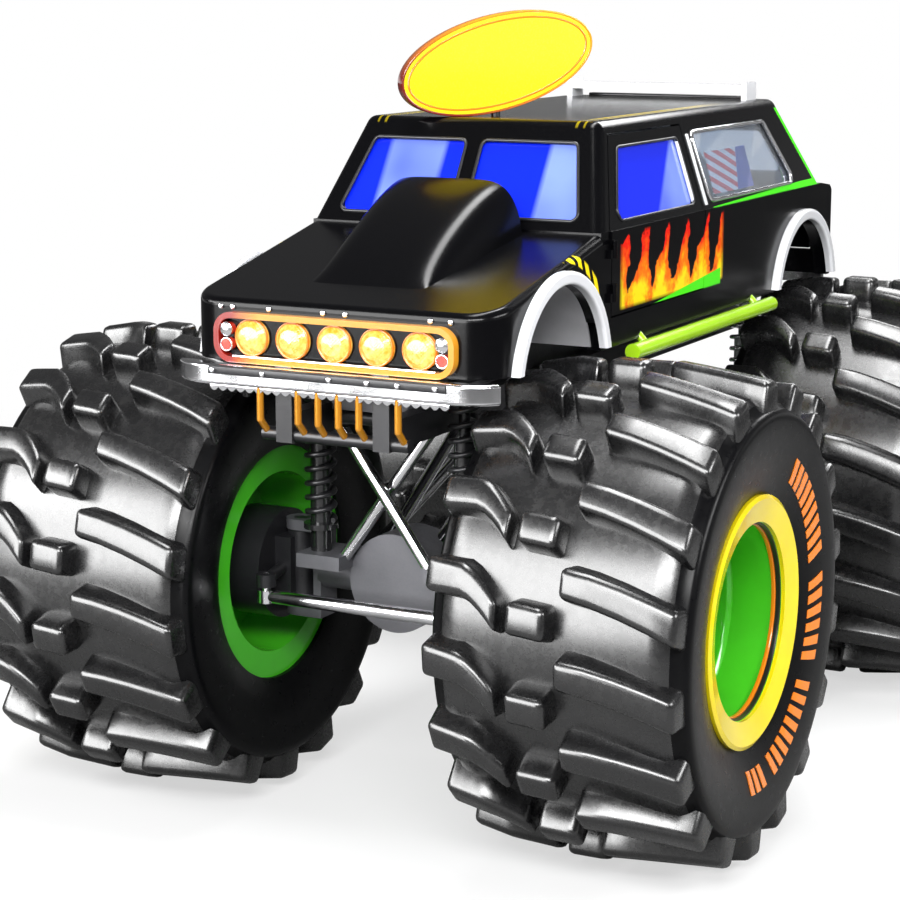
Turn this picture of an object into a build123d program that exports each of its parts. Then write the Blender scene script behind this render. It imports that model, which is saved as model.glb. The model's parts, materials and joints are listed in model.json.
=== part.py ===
"""Monster truck: a two-door sport utility body carried on four giant lugged tyres.

Millimetres. Z is up, the truck faces -Y and +X is its left side. The origin lies
on the ground, midway between the four wheels.
"""

from build123d import *

import os
from math import cos, pi

# Tyres and wheels
TYRE_DIAMETER = 2200  # over the lugs
TYRE_WIDTH = 1150
TYRE_GAP = 1200  # between the inner sidewalls of one axle
WHEELBASE = 3200
CROWN_DEPTH = 115  # carcass below the lug tips
CROWN_IN = 55  # edge of the crown, in from the sidewall
BULGE_RADII = (780, 815)  # widest ring of the sidewall
BEAD_RADIUS = 555
BEAD_IN = 75
LUGS = 18  # bars in each row, and sides of the carcass
BLOCK_TURN = 4.7  # between bars and blocks, in degrees
RIM_IN = 95  # edge of the rim, in from the sidewall
RIM_OPENING = 430
RIM_STEP = (120, 385)  # inner step of the dish, as (out, radius)
DISC_U = -150  # back of the wheel disc, from the wheel's middle
DISC_THICK = 40
HUB_RADIUS = 150
HUB_OUT = 40
RING_THICK = 35
SPINDLE_RADIUS = 100
SPINDLE_DEPTH = 120  # how far the spindle enters the hub
RUN_FIT = 0.05  # radial clearance of a shaft that turns
SEAT_GAP = 0.3  # between curved faces that only sit together

# Steering
KINGPIN_X = 560
BOSS_RADIUS = 70
BOSS_HALF = 175
PIN_RADIUS = 40
EAR_RADIUS = 75
EAR_LOW = 180  # ears of the axle yoke, above and below the axle
EAR_HIGH = 230
YOKE_X = (420, 460)
DRUM_RADIUS = 260
DRUM_X = (645, 850)
ARM_LENGTH = 330
ARM_RADIUS = 28
TIE_DROP = 75  # tie rod below the steering arms
TIE_RADIUS = 32
TIE_PIN = 20
OPEN_FIT = 0.5  # clearance at the tie rod's loose end

# Axle housings
AXLE_RADIUS = 90
DIFF_RADIUS = 230
DIFF_HALF = 130
PINION_RADIUS = 90
PINION_END = 300
PINION_RISE = 40
SHELF_RISE = (60, 125)
SHELF_X = (215, 440)
SHELF_LENGTH = 260

# Frame and suspension
RAIL_X = 240
RAIL_WIDE = 80
RAIL_DROP = (320, 190)  # rails below the sills
HORN_REACH = 40  # frame horns ahead of the nose
REAR_HORN = (110, 10)  # rear horns before and behind the tail
CROSS_RADIUS = 35
CROSS_SPAN = 300  # cross tubes before and behind the axles
MIDDLE_CROSS = 700
LINK_TUBE_Y = 420
LINK_TUBE_DROP = 30
HANGER_Y = (315, 385)
HANGER_X = (105, 240)
HANGER_DROP = 230
LINK_RADIUS = 30
LINK_END_X = 160  # lower links at their hangers
BRACE_RADIUS = 28
BRACE_X = (150, 320)  # where the front braces end under the rails
POST_Y = (-900, 0, 900)
POST_RADIUS = 30
DAMPER_X = 370
DAMPER_Y = 150  # from the axle towards the truck's end
DAMPER_RADIUS = 48
ROD_RADIUS = 26
DAMPER_SPLIT = 700  # top of the damper body above the axle
TOWER_RISE = (245, 270)  # above the sills
TOWER_X = (205, 275)
TOWER_HALF = 50
TOWER_SHELF = 70
COLLAR_RADIUS = 80
COLLAR_RISE = 230
COLLAR_DROP = 95
COLLAR_THICK = 25
SPRING_OUT = 76
SPRING_ROOT = 64
SPRING_IN = 56
SPRING_SIDES = 12
SPRING_COILS = 9
SHAFT_RADIUS = 40
CASE_Y = (-200, 150)
CASE_X = 150
CASE_DROP = 130
CASE_RISE = 30
ENGINE_X = 190
ENGINE_HALF = 350
ENGINE_RISE = 240

# Body, with heights above the sills
BODY_WIDTH = 1520
FRONT_OVERHANG = 640
REAR_OVERHANG = 510
SILL_DROP = 50  # sills below the tyre tops
WALL = 45
DOOR_WALL = 70
SEAM = 8  # gap round doors and gate
NOSE_RISE = 15
ROCKER_RISE = 134
FLOOR_RISE = 90
REAR_FLOOR_RISE = 330
FLOOR_THICK = 30
BELT_RISE = 530
ROOF_RISE = 1010
FENDER_RISE = (240, 475)
HOOD_THICK = 45
HOOD_ROUND = 38
ARCH_RADIUS = 440
ARCH_DROP = 90
LIP_WIDTH = 60
LIP_OUT = 40
LIP_ROUND = 15
TUB_THICK = 10
TUB_X = 277
COWL_BACK = 450  # cowl behind the front axle
CAB_TAIL = 210  # cab's rear foot ahead of the tail
CAB_STEP = 10  # cab inside the body's side
TUMBLEHOME = 140
SCREEN_RAKE = 290
GATE_RAKE = 400
CAB_ROUND = 55
DOOR_SETBACK = 110
DOOR_LENGTH = 1150
WINDOW_GAP = (35, 95)  # windows above the belt and below the roof
WINDOW_ROUND = 40
GLASS = 8
GLASS_INSET = 16
GATE_POST = 110  # rear corner posts beside the gate
DOOR_HINGE_RISE = (76, 276)
DOOR_HINGE_RADIUS = 12
DOOR_HINGE_LONG = 40
DOOR_HINGE_OUT = 14
GATE_HINGE_X = (-380, 300)
GATE_HINGE_LONG = 40
GATE_HINGE_RADIUS = 14
GATE_HINGE_OUT = 26
TAIL_ROUND = 30
REAR_FLOOR_AHEAD = 540  # step of the floor ahead of the rear axle

# Lamps and front fittings
LAMP_RADIUS = 82
LAMP_PITCH = 207
SURROUND_TALL = 220
SURROUND_END = 94  # past the outer lamps
SURROUND_BAND = 26
SURROUND_OUT = 45
SURROUND_ROUND = 85
MARKER_RADIUS = 28
MARKER_RISE = 34
BUMPER_DROP = (95, 5)  # below the nose
BUMPER_OUT = 100
BUMPER_END = 10  # ends of the bumper ahead of the nose
BUMPER_ROUND = 15
HOOP_X = (-340, -150, -50, 50, 150, 340)
HOOP_RADIUS = 16
HOOP_BEND = 70
GUARD_RISE = 30
GUARD_RADIUS = 30
GUARD_HALF = 362

# Rear fittings
REAR_BUMPER_IN = 60  # inside the body's side
REAR_BUMPER_RISE = (-60, 25)
REAR_BUMPER_THICK = 80
REAR_BUMPER_ROUND = 40
TOW_BORE = 20
TOW_REACH = 55  # bore behind the rear bumper
TOW_HALF = 60
TOW_THICK = 30
TAIL_LAMP_RISE = (250, 410)
TAIL_LAMP_OUT = 25

# Roof and sills
SIGN_PLACE = (-40, 240, 250)  # across, behind the roof's front edge, above the roof
SIGN_RADII = (480, 215)
SIGN_THICK = 70
SIGN_POST = 22
ROOF_BAR_Y = (210, 80)  # ahead of the roof's rear edge
ROOF_BAR_RISE = (45, 80)
ROOF_BAR_END = (95, 30)  # height and width of the end plates
ROOF_BAR_IN = 80
TUBE_RADIUS = 38
TUBE_OUT = 40
TUBE_DROP = 42
TUBE_Y = (720, 600)  # behind the front axle and ahead of the rear one
TUBE_STEP = 190
TUBE_STAY = 20

# Cabin
CAGE_RADIUS = 28
CAGE_IN = (150, 70)  # from the cab's side at the belt and at the roof
CAGE_DROP = 100
CAGE_Y = (150, 90)  # behind the doors and behind the floor's step
SEAT_X = (130, 540)
DASH_DROP = (200, 30)
DASH_DEEP = 160
DASH_IN = 20
STEER_PLACE = (335, 380, -30)  # across, behind the door's front, above the belt
STEER_RADII = (148, 180)
STEER_THICK = 28
COLUMN_RADIUS = 22

# Places worked out from the sizes above
TYRE_RADIUS = TYRE_DIAMETER / 2
TYRE_HALF = TYRE_WIDTH / 2
AXLE_Z = TYRE_RADIUS
WHEEL_X = (TYRE_GAP + TYRE_WIDTH) / 2
FRONT_Y = -WHEELBASE / 2
REAR_Y = WHEELBASE / 2
HALF = BODY_WIDTH / 2
NOSE_Y = FRONT_Y - FRONT_OVERHANG
TAIL_Y = REAR_Y + REAR_OVERHANG
RAIL_IN = RAIL_X - RAIL_WIDE / 2
RAIL_OUT = RAIL_X + RAIL_WIDE / 2
SILL_Z = TYRE_DIAMETER - SILL_DROP
NOSE_BOTTOM = SILL_Z + NOSE_RISE
ROCKER_TOP = SILL_Z + ROCKER_RISE
FLOOR_Z = (SILL_Z + FLOOR_RISE, SILL_Z + FLOOR_RISE + FLOOR_THICK)
REAR_FLOOR_Z = (SILL_Z + REAR_FLOOR_RISE, SILL_Z + REAR_FLOOR_RISE + FLOOR_THICK)
REAR_FLOOR_Y = REAR_Y - REAR_FLOOR_AHEAD
BELT_Z = SILL_Z + BELT_RISE
ROOF_Z = SILL_Z + ROOF_RISE
FENDER_Z = (SILL_Z + FENDER_RISE[0], SILL_Z + FENDER_RISE[1])
ARCH_Z = SILL_Z - ARCH_DROP
RAIL_Z = (SILL_Z - RAIL_DROP[0], SILL_Z - RAIL_DROP[1])
CROSS_Z = sum(RAIL_Z) / 2
TOWER_Z = (SILL_Z + TOWER_RISE[0], SILL_Z + TOWER_RISE[1])
HORN_Y = (NOSE_Y - HORN_REACH, NOSE_Y + HORN_REACH)
REAR_HORN_Y = (TAIL_Y - REAR_HORN[0], TAIL_Y + REAR_HORN[1])
COWL_Y = FRONT_Y + COWL_BACK
CAB_LOW_Y = (COWL_Y, TAIL_Y - CAB_TAIL)
CAB_HIGH_Y = (CAB_LOW_Y[0] + SCREEN_RAKE, CAB_LOW_Y[1] - GATE_RAKE)
CAB_HALF_LOW = HALF - CAB_STEP
CAB_HALF_HIGH = CAB_HALF_LOW - TUMBLEHOME
DOOR_FRONT_Y = COWL_Y + DOOR_SETBACK
DOOR_REAR_Y = DOOR_FRONT_Y + DOOR_LENGTH
INNER = HALF - DOOR_WALL
WINDOW_LOW = BELT_Z + WINDOW_GAP[0]
WINDOW_HIGH = ROOF_Z - WINDOW_GAP[1]
SURROUND_WIDE = 4 * LAMP_PITCH + 2 * LAMP_RADIUS + 2 * SURROUND_END
NOSE_ROUND = HALF - SURROUND_WIDE / 2  # the nose is flat as far as the lamp surround reaches
LAMP_Z = NOSE_BOTTOM + SURROUND_TALL / 2

SIDES = (("left", 1), ("right", -1))
WHEELS = (
    ("front_left", 1, FRONT_Y),
    ("front_right", -1, FRONT_Y),
    ("rear_left", 1, REAR_Y),
    ("rear_right", -1, REAR_Y),
)

os.makedirs("parts", exist_ok=True)


def save(piece, label):
    """Name a finished piece and write it."""
    piece.label = label
    export_step(piece, f"parts/{label}.step")


def bar(start, end, radius, mode=Mode.ADD):
    """Round bar between two points, in the part being built."""
    axis = Vector(*end) - Vector(*start)
    with BuildSketch(Plane(origin=start, z_dir=axis)) as section:
        Circle(radius)
    extrude(section.sketch, amount=axis.length, mode=mode)


def block(x_range, y_range, z_range, mode=Mode.ADD):
    """Box given by its three ranges, in the part being built."""
    ranges = (x_range, y_range, z_range)
    with Locations(tuple((low + high) / 2 for low, high in ranges)):
        Box(*(abs(high - low) for low, high in ranges), mode=mode)


def pane(points, round_by=0):
    """Flat outline with its corners rounded."""
    with BuildSketch() as shape:
        Polygon(*points, align=None)
        if round_by:
            fillet(shape.vertices(), round_by)
    return shape.sketch


def grown(points, gap):
    """Flat outline spread by a gap on all sides."""
    with BuildSketch() as shape:
        Polygon(*points, align=None)
        offset(amount=gap, kind=Kind.INTERSECTION)
    return shape.sketch


def side_prism(outline, x_range, mode=Mode.ADD):
    """Prism of a flat (y, z) outline between two x places, in the part being built."""
    extrude(Plane.YZ.offset(x_range[0]) * outline, amount=x_range[1] - x_range[0], mode=mode)


def front_prism(outline, y_range, mode=Mode.ADD):
    """Prism of a flat (x, z) outline between two y places, in the part being built."""
    extrude(Plane.XZ.offset(-y_range[1]) * outline, amount=y_range[1] - y_range[0], mode=mode)


def mirrored(points):
    """Points with the first coordinate turned to the other side."""
    return tuple((-first, second) for first, second in points)


def wheel_plane(side, axle_y):
    """Plane whose x runs out of the wheel and whose y is the wheel's radius."""
    return Plane(origin=(side * WHEEL_X, axle_y, AXLE_Z), x_dir=(side, 0, 0), z_dir=(0, -side, 0))


def turned(plane, points, axle_y):
    """Turn a section of (out, radius) points about a wheel's axle, in the part being built."""
    with BuildSketch(plane) as section:
        Polygon(*points, align=None)
    revolve(section.sketch, axis=Axis((0, axle_y, AXLE_Z), (1, 0, 0)))


# Tyre: faceted carcass with two rows of swept bars and a row of blocks between them.
# Sections as (part of the half width, shift round the tyre, half widths of tip and root, their depths)
OUTER_BAR = (
    (0.10, 85, 54, 72, 9, 150),
    (0.97, -48, 62, 88, 55, 270),
)
INNER_BAR = (
    (-0.97, 60, 62, 84, 55, 270),
    (-0.66, 50, 58, 80, 22, 160),
    (-0.36, -90, 52, 70, 15, 150),
)
BLOCK = (
    (-0.28, 8, 58, 70, 0, 145),
    (0.03, -8, 58, 70, 0, 145),
)
CROWN_RADIUS = TYRE_RADIUS - CROWN_DEPTH
CROWN_HALF = TYRE_HALF - CROWN_IN
BEAD_HALF = TYRE_HALF - BEAD_IN
BORE_CORNER = BEAD_RADIUS / cos(pi / LUGS)
LUG_PITCH = 360 / LUGS


def facets(out, radius):
    """Many-sided section of a tyre at a distance out from its middle."""
    with BuildSketch(Plane.YZ.offset(out)) as section:
        RegularPolygon(radius, LUGS)
    return section.sketch


def tread_piece(sections):
    """Bar or block of the tread, lofted through its sections at the top of the tyre."""
    with BuildPart() as piece:
        for across, shift, tip_half, root_half, tip_depth, root_depth in sections:
            with BuildSketch(Plane.YZ.offset(across * TYRE_HALF)):
                Polygon(
                    (shift - root_half, TYRE_RADIUS - root_depth),
                    (shift + root_half, TYRE_RADIUS - root_depth),
                    (shift + tip_half, TYRE_RADIUS - tip_depth),
                    (shift - tip_half, TYRE_RADIUS - tip_depth),
                    align=None,
                )
        loft(ruled=True)
    return piece.part


tread_pieces = (tread_piece(OUTER_BAR), tread_piece(INNER_BAR), tread_piece(BLOCK).rotate(Axis.X, BLOCK_TURN))

with BuildPart() as tread:
    loft(
        [
            facets(-TYRE_HALF, BULGE_RADII[1]),
            facets(-CROWN_HALF, CROWN_RADIUS),
            facets(CROWN_HALF, CROWN_RADIUS),
            facets(TYRE_HALF, BULGE_RADII[1]),
        ],
        ruled=True,
    )
    for side_name, side in SIDES:
        loft([facets(side * TYRE_HALF, BULGE_RADII[0]), facets(side * BEAD_HALF, BORE_CORNER)],
             ruled=True, mode=Mode.SUBTRACT)
    extrude(facets(-TYRE_HALF, BORE_CORNER), amount=TYRE_WIDTH, mode=Mode.SUBTRACT)
    add([piece.rotate(Axis.X, step * LUG_PITCH) for step in range(LUGS) for piece in tread_pieces])

# A block stands exactly on the ground
standing_tread = tread.part.rotate(Axis.X, -BLOCK_TURN)

# Rims, and the bright rings bolted over the outer beads
RIM_HALF = TYRE_HALF - RIM_IN
SEAT_RADIUS = BEAD_RADIUS - SEAT_GAP
BORE_RADIUS = SPINDLE_RADIUS + RUN_FIT
SPINDLE_END_U = DISC_U + SPINDLE_DEPTH
RIM_SECTION = (
    (DISC_U, BORE_RADIUS),
    (DISC_U, RIM_OPENING),
    (-RIM_HALF, RIM_OPENING),
    (-RIM_HALF, SEAT_RADIUS),
    (RIM_HALF, SEAT_RADIUS),
    (RIM_HALF, RIM_OPENING),
    (RIM_STEP[0], RIM_OPENING - 15),
    (RIM_STEP[0], RIM_STEP[1]),
    (DISC_U + DISC_THICK, RIM_STEP[1] - 15),
    (DISC_U + DISC_THICK, HUB_RADIUS + 20),
    (HUB_OUT, HUB_RADIUS),
    (HUB_OUT, 0),
    (SPINDLE_END_U, 0),
    (SPINDLE_END_U, BORE_RADIUS),
)
RING_SECTION = (
    (RIM_HALF, RIM_OPENING + 2),
    (RIM_HALF, SEAT_RADIUS - 2),
    (RIM_HALF + RING_THICK, SEAT_RADIUS - 2),
    (RIM_HALF + RING_THICK + 10, SEAT_RADIUS - 20),
    (RIM_HALF + RING_THICK / 2, RIM_OPENING + 2),
)

for corner, side, axle_y in WHEELS:
    with BuildPart() as tyre:
        with Locations((side * WHEEL_X, axle_y, AXLE_Z)):
            add(standing_tread)
    save(tyre.part, f"tyre_{corner}")

    plane = wheel_plane(side, axle_y)
    with BuildPart() as rim:
        turned(plane, RIM_SECTION, axle_y)
    save(rim.part, f"rim_{corner}")

    with BuildPart() as ring:
        turned(plane, RING_SECTION, axle_y)
    save(ring.part, f"ring_{corner}")

# Steering knuckles with drum, spindle and arm
SPINDLE_END = WHEEL_X + SPINDLE_END_U - 2
ARM_Y = FRONT_Y - ARM_LENGTH
ARM_EYE = (45, 60)  # radius and height

for side_name, side in SIDES:
    with BuildPart() as knuckle:
        with Locations((side * KINGPIN_X, FRONT_Y, AXLE_Z)):
            Cylinder(BOSS_RADIUS, 2 * BOSS_HALF)
            Cylinder(PIN_RADIUS - RUN_FIT, 2 * EAR_HIGH - 4)
        block(
            (side * KINGPIN_X, side * (DRUM_X[0] + 20)),
            (FRONT_Y - 110, FRONT_Y + 110),
            (AXLE_Z - 150, AXLE_Z + 150),
        )
        bar((side * DRUM_X[0], FRONT_Y, AXLE_Z), (side * DRUM_X[1], FRONT_Y, AXLE_Z), DRUM_RADIUS)
        bar((side * DRUM_X[1], FRONT_Y, AXLE_Z), (side * SPINDLE_END, FRONT_Y, AXLE_Z), SPINDLE_RADIUS)
        bar((side * (KINGPIN_X + 60), FRONT_Y - 80, AXLE_Z), (side * KINGPIN_X, ARM_Y, AXLE_Z), ARM_RADIUS)
        with Locations((side * KINGPIN_X, ARM_Y, AXLE_Z)):
            Cylinder(*ARM_EYE)
            Cylinder(TIE_PIN + (RUN_FIT if side > 0 else OPEN_FIT), ARM_EYE[1] + 10, mode=Mode.SUBTRACT)
    save(knuckle.part, f"knuckle_{side_name}")

with BuildPart() as tie_rod:
    tie_z = AXLE_Z - TIE_DROP
    bar((-KINGPIN_X, ARM_Y, tie_z), (KINGPIN_X, ARM_Y, tie_z), TIE_RADIUS)
    for side_name, side in SIDES:
        with Locations((side * KINGPIN_X, ARM_Y, tie_z)):
            Cylinder(TIE_RADIUS + 10, ARM_EYE[1])
        bar((side * KINGPIN_X, ARM_Y, tie_z), (side * KINGPIN_X, ARM_Y, AXLE_Z + 28), TIE_PIN)
save(tie_rod.part, "tie_rod")


def housing(axle_y, inward):
    """Axle tube, differential, pinion nose and damper shelves, in the part being built."""
    bar((-YOKE_X[0] - 10, axle_y, AXLE_Z), (YOKE_X[0] + 10, axle_y, AXLE_Z), AXLE_RADIUS)
    bar((0, axle_y - DIFF_HALF, AXLE_Z), (0, axle_y + DIFF_HALF, AXLE_Z), DIFF_RADIUS)
    pinion_z = AXLE_Z + PINION_RISE
    bar((0, axle_y, pinion_z), (0, axle_y + inward * PINION_END, pinion_z), PINION_RADIUS)
    shelf_y = sorted((axle_y, axle_y - inward * SHELF_LENGTH))
    for side_name, side in SIDES:
        block((side * SHELF_X[0], side * SHELF_X[1]), shelf_y, (AXLE_Z + SHELF_RISE[0], AXLE_Z + SHELF_RISE[1]))


with BuildPart() as front_axle:
    housing(FRONT_Y, 1)
    ear_y = (FRONT_Y - EAR_RADIUS, FRONT_Y + EAR_RADIUS)
    ear_tall = EAR_HIGH - EAR_LOW
    for side_name, side in SIDES:
        block((side * YOKE_X[0], side * YOKE_X[1]), ear_y, (AXLE_Z - EAR_HIGH, AXLE_Z + EAR_HIGH))
        for ear_z in (AXLE_Z + EAR_LOW, AXLE_Z - EAR_HIGH):
            block((side * YOKE_X[0], side * KINGPIN_X), ear_y, (ear_z, ear_z + ear_tall))
            bar((side * KINGPIN_X, FRONT_Y, ear_z), (side * KINGPIN_X, FRONT_Y, ear_z + ear_tall), EAR_RADIUS)
        bar((side * KINGPIN_X, FRONT_Y, AXLE_Z - EAR_HIGH), (side * KINGPIN_X, FRONT_Y, AXLE_Z + EAR_HIGH),
            PIN_RADIUS, Mode.SUBTRACT)
save(front_axle.part, "front_axle")

with BuildPart() as rear_axle:
    housing(REAR_Y, -1)
    for side_name, side in SIDES:
        bar((side * YOKE_X[0], REAR_Y, AXLE_Z), (side * DRUM_X[0], REAR_Y, AXLE_Z), AXLE_RADIUS + 20)
        bar((side * DRUM_X[0], REAR_Y, AXLE_Z), (side * DRUM_X[1], REAR_Y, AXLE_Z), DRUM_RADIUS)
        bar((side * DRUM_X[1], REAR_Y, AXLE_Z), (side * SPINDLE_END, REAR_Y, AXLE_Z), SPINDLE_RADIUS)
save(rear_axle.part, "rear_axle")

# Frame with shock towers, horns and body posts
CROSS_Y = (FRONT_Y - CROSS_SPAN, FRONT_Y + CROSS_SPAN, -MIDDLE_CROSS, MIDDLE_CROSS, REAR_Y + CROSS_SPAN)
LINK_TUBE_Z = RAIL_Z[0] - LINK_TUBE_DROP
HANGER_LOW = RAIL_Z[0] - HANGER_DROP
GUARD_Z = RAIL_Z[0] + GUARD_RISE
GUARD_Y = sum(HORN_Y) / 2
TOWER_Y = REAR_Y + DAMPER_Y

with BuildPart() as frame:
    for side_name, side in SIDES:
        rail_x = (side * RAIL_IN, side * RAIL_OUT)
        block(rail_x, (HORN_Y[1], REAR_HORN_Y[0]), RAIL_Z)
        block(rail_x, HORN_Y, (RAIL_Z[0], NOSE_BOTTOM))
        block(rail_x, REAR_HORN_Y, (RAIL_Z[0], SILL_Z))
        for end in (-1, 1):
            tower_y = end * TOWER_Y
            block((side * TOWER_X[0], side * TOWER_X[1]), (tower_y - TOWER_HALF, tower_y + TOWER_HALF),
                  (RAIL_Z[0], TOWER_Z[1]))
            block((side * TOWER_X[0], side * (DAMPER_X + TOWER_SHELF)),
                  (tower_y - TOWER_SHELF, tower_y + TOWER_SHELF), TOWER_Z)
            hanger_y = sorted(end * place for place in HANGER_Y)
            block((side * HANGER_X[0], side * HANGER_X[1]), hanger_y, (HANGER_LOW, RAIL_Z[0] + 10))
        for post_y in POST_Y:
            bar((side * RAIL_X, post_y, RAIL_Z[0]), (side * RAIL_X, post_y, FLOOR_Z[0]), POST_RADIUS)
    for cross_y in CROSS_Y:
        bar((-RAIL_X, cross_y, CROSS_Z), (RAIL_X, cross_y, CROSS_Z), CROSS_RADIUS)
    for end in (-1, 1):
        tube_y = end * LINK_TUBE_Y
        bar((-RAIL_OUT, tube_y, LINK_TUBE_Z), (RAIL_OUT, tube_y, LINK_TUBE_Z), CROSS_RADIUS)
    bar((-GUARD_HALF, GUARD_Y, GUARD_Z), (GUARD_HALF, GUARD_Y, GUARD_Z), GUARD_RADIUS)
save(frame.part, "frame")

# Four-link bars and the crossed front braces, seated on axle and frame
LOWER_LINK_X = 285
UPPER_LINK_X = (120, 200)
BRACE_Y = (165, 228)  # ahead of the front axle

with BuildPart() as links:
    for end in (-1, 1):
        axle_y = end * REAR_Y
        tube_y = end * LINK_TUBE_Y
        for side_name, side in SIDES:
            bar((side * LOWER_LINK_X, axle_y, AXLE_Z), (side * LINK_END_X, end * HANGER_Y[0], HANGER_LOW + 50),
                LINK_RADIUS)
            bar((side * UPPER_LINK_X[0], axle_y, AXLE_Z + AXLE_RADIUS + 40),
                (side * UPPER_LINK_X[1], tube_y, LINK_TUBE_Z), LINK_RADIUS)
        bar((-HALF, axle_y, AXLE_Z), (HALF, axle_y, AXLE_Z), AXLE_RADIUS + SEAT_GAP, Mode.SUBTRACT)
        bar((0, axle_y - DIFF_HALF - SEAT_GAP, AXLE_Z), (0, axle_y + DIFF_HALF + SEAT_GAP, AXLE_Z),
            DIFF_RADIUS + SEAT_GAP, Mode.SUBTRACT)
        bar((-RAIL_OUT, tube_y, LINK_TUBE_Z), (RAIL_OUT, tube_y, LINK_TUBE_Z),
            CROSS_RADIUS + SEAT_GAP, Mode.SUBTRACT)
        hanger_y = sorted((end * (HANGER_Y[1] + SEAT_GAP), end * (HANGER_Y[0] - 200)))
        for side_name, side in SIDES:
            block((side * HANGER_X[0], side * HANGER_X[1]), hanger_y, (HANGER_LOW, RAIL_Z[0]), Mode.SUBTRACT)
    for side, ahead in zip((1, -1), BRACE_Y):
        brace_y = FRONT_Y - ahead
        bar((-side * (SHELF_X[0] + 40), brace_y, AXLE_Z + SHELF_RISE[1] - 40),
            (side * RAIL_X, brace_y, RAIL_Z[0] + 40), BRACE_RADIUS)
    for side_name, side in SIDES:
        block((side * SHELF_X[0], side * SHELF_X[1]), (FRONT_Y - SHELF_LENGTH, FRONT_Y),
              (AXLE_Z, AXLE_Z + SHELF_RISE[1]), Mode.SUBTRACT)
        block((side * BRACE_X[0], side * BRACE_X[1]), (HORN_Y[1], FRONT_Y), RAIL_Z, Mode.SUBTRACT)
save(links.part, "links")

# Dampers and the ribbed springs round them
COLLAR_Z = (AXLE_Z + COLLAR_RISE, TOWER_Z[0] - COLLAR_DROP)

with BuildPart() as dampers:
    for end in (-1, 1):
        place_y = end * TOWER_Y
        foot_z = AXLE_Z + SHELF_RISE[1]
        split_z = AXLE_Z + DAMPER_SPLIT
        bar((DAMPER_X, place_y, foot_z), (DAMPER_X, place_y, split_z), DAMPER_RADIUS)
        bar((DAMPER_X, place_y, split_z), (DAMPER_X, place_y, TOWER_Z[0]), ROD_RADIUS)
        for collar_z in COLLAR_Z:
            bar((DAMPER_X, place_y, collar_z), (DAMPER_X, place_y, collar_z + COLLAR_THICK), COLLAR_RADIUS)
    mirror(about=Plane.YZ)
save(dampers.part, "dampers")

with BuildPart() as coils:
    spring_low = COLLAR_Z[0] + COLLAR_THICK
    coil_pitch = (COLLAR_Z[1] - spring_low) / SPRING_COILS
    for coil in range(SPRING_COILS):
        for radius, low, high in ((SPRING_ROOT, 0, 1), (SPRING_OUT, 0.25, 0.75)):
            with BuildSketch(Plane.XY.offset(spring_low + (coil + low) * coil_pitch)):
                RegularPolygon(radius, SPRING_SIDES)
                RegularPolygon(SPRING_IN, SPRING_SIDES, mode=Mode.SUBTRACT)
            extrude(amount=(high - low) * coil_pitch)

with BuildPart() as springs:
    with Locations(*((x, y, 0) for x in (-DAMPER_X, DAMPER_X) for y in (-TOWER_Y, TOWER_Y))):
        add(coils.part)
save(springs.part, "springs")

# Engine, gearbox and transfer case as one block, and the two drive shafts
CASE_Z = (RAIL_Z[0] - CASE_DROP, SILL_Z + CASE_RISE)

with BuildPart() as powertrain:
    rest_z = CROSS_Z + CROSS_RADIUS
    engine_y = (FRONT_Y - ENGINE_HALF, FRONT_Y + ENGINE_HALF)
    block((-ENGINE_X, ENGINE_X), engine_y, (rest_z, SILL_Z + ENGINE_RISE))
    block((-CASE_X, CASE_X), (engine_y[1], CASE_Y[0]), (rest_z, CASE_Z[1]))
    block((-CASE_X, CASE_X), CASE_Y, CASE_Z)
save(powertrain.part, "powertrain")

with BuildPart() as drive_shafts:
    pinion_z = AXLE_Z + PINION_RISE
    for end, case_y in ((-1, CASE_Y[0]), (1, CASE_Y[1])):
        nose_y = end * (REAR_Y - PINION_END)
        bar((0, case_y - end * 40, CASE_Z[0] + 60), (0, nose_y + end * 60, pinion_z), SHAFT_RADIUS)
        bar((0, end * REAR_Y, pinion_z), (0, nose_y - end * SEAT_GAP, pinion_z),
            PINION_RADIUS + SEAT_GAP, Mode.SUBTRACT)
    block((-CASE_X, CASE_X), (CASE_Y[0] - SEAT_GAP, CASE_Y[1] + SEAT_GAP), CASE_Z, Mode.SUBTRACT)
save(drive_shafts.part, "drive_shafts")

# Door hinges stand proud of the skin, one barrel on the fender and one on the door
DOOR_HINGE_X = HALF + DOOR_HINGE_OUT
DOOR_HINGE_Y = DOOR_FRONT_Y - SEAM / 2


def door_hinge(side, low_z, toward):
    """Hinge barrel and its leaf, reaching forward (-1) or back (1), in the part being built."""
    high_z = low_z + DOOR_HINGE_LONG
    bar((side * DOOR_HINGE_X, DOOR_HINGE_Y, low_z), (side * DOOR_HINGE_X, DOOR_HINGE_Y, high_z),
        DOOR_HINGE_RADIUS)
    leaf_y = sorted((DOOR_HINGE_Y + toward * 5, DOOR_HINGE_Y + toward * 45))
    block((side * (HALF - 5), side * (DOOR_HINGE_X + 2)), leaf_y, (low_z, high_z))


# Front clip: fenders and rounded nose in one, open below and above
FENDER_END = DOOR_FRONT_Y - SEAM
FENDER = (
    (NOSE_Y, NOSE_BOTTOM),
    (NOSE_Y, FENDER_Z[0]),
    (COWL_Y, FENDER_Z[1]),
    (FENDER_END, FENDER_Z[1]),
    (FENDER_END, ROCKER_TOP),
    (FRONT_Y + 100, ROCKER_TOP),
    (FRONT_Y + 100, NOSE_BOTTOM),
)


def nose_plan(z, inset):
    """Plan of nose and fenders at a height, drawn in by an inset."""
    front = NOSE_Y + inset
    with BuildSketch(Plane.XY.offset(z)) as plan:
        with Locations((0, (front + FENDER_END) / 2)):
            Rectangle(2 * (HALF - inset), FENDER_END - front)
        fillet(plan.vertices().group_by(Axis.Y)[0], NOSE_ROUND - inset)
    return plan.sketch


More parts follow.
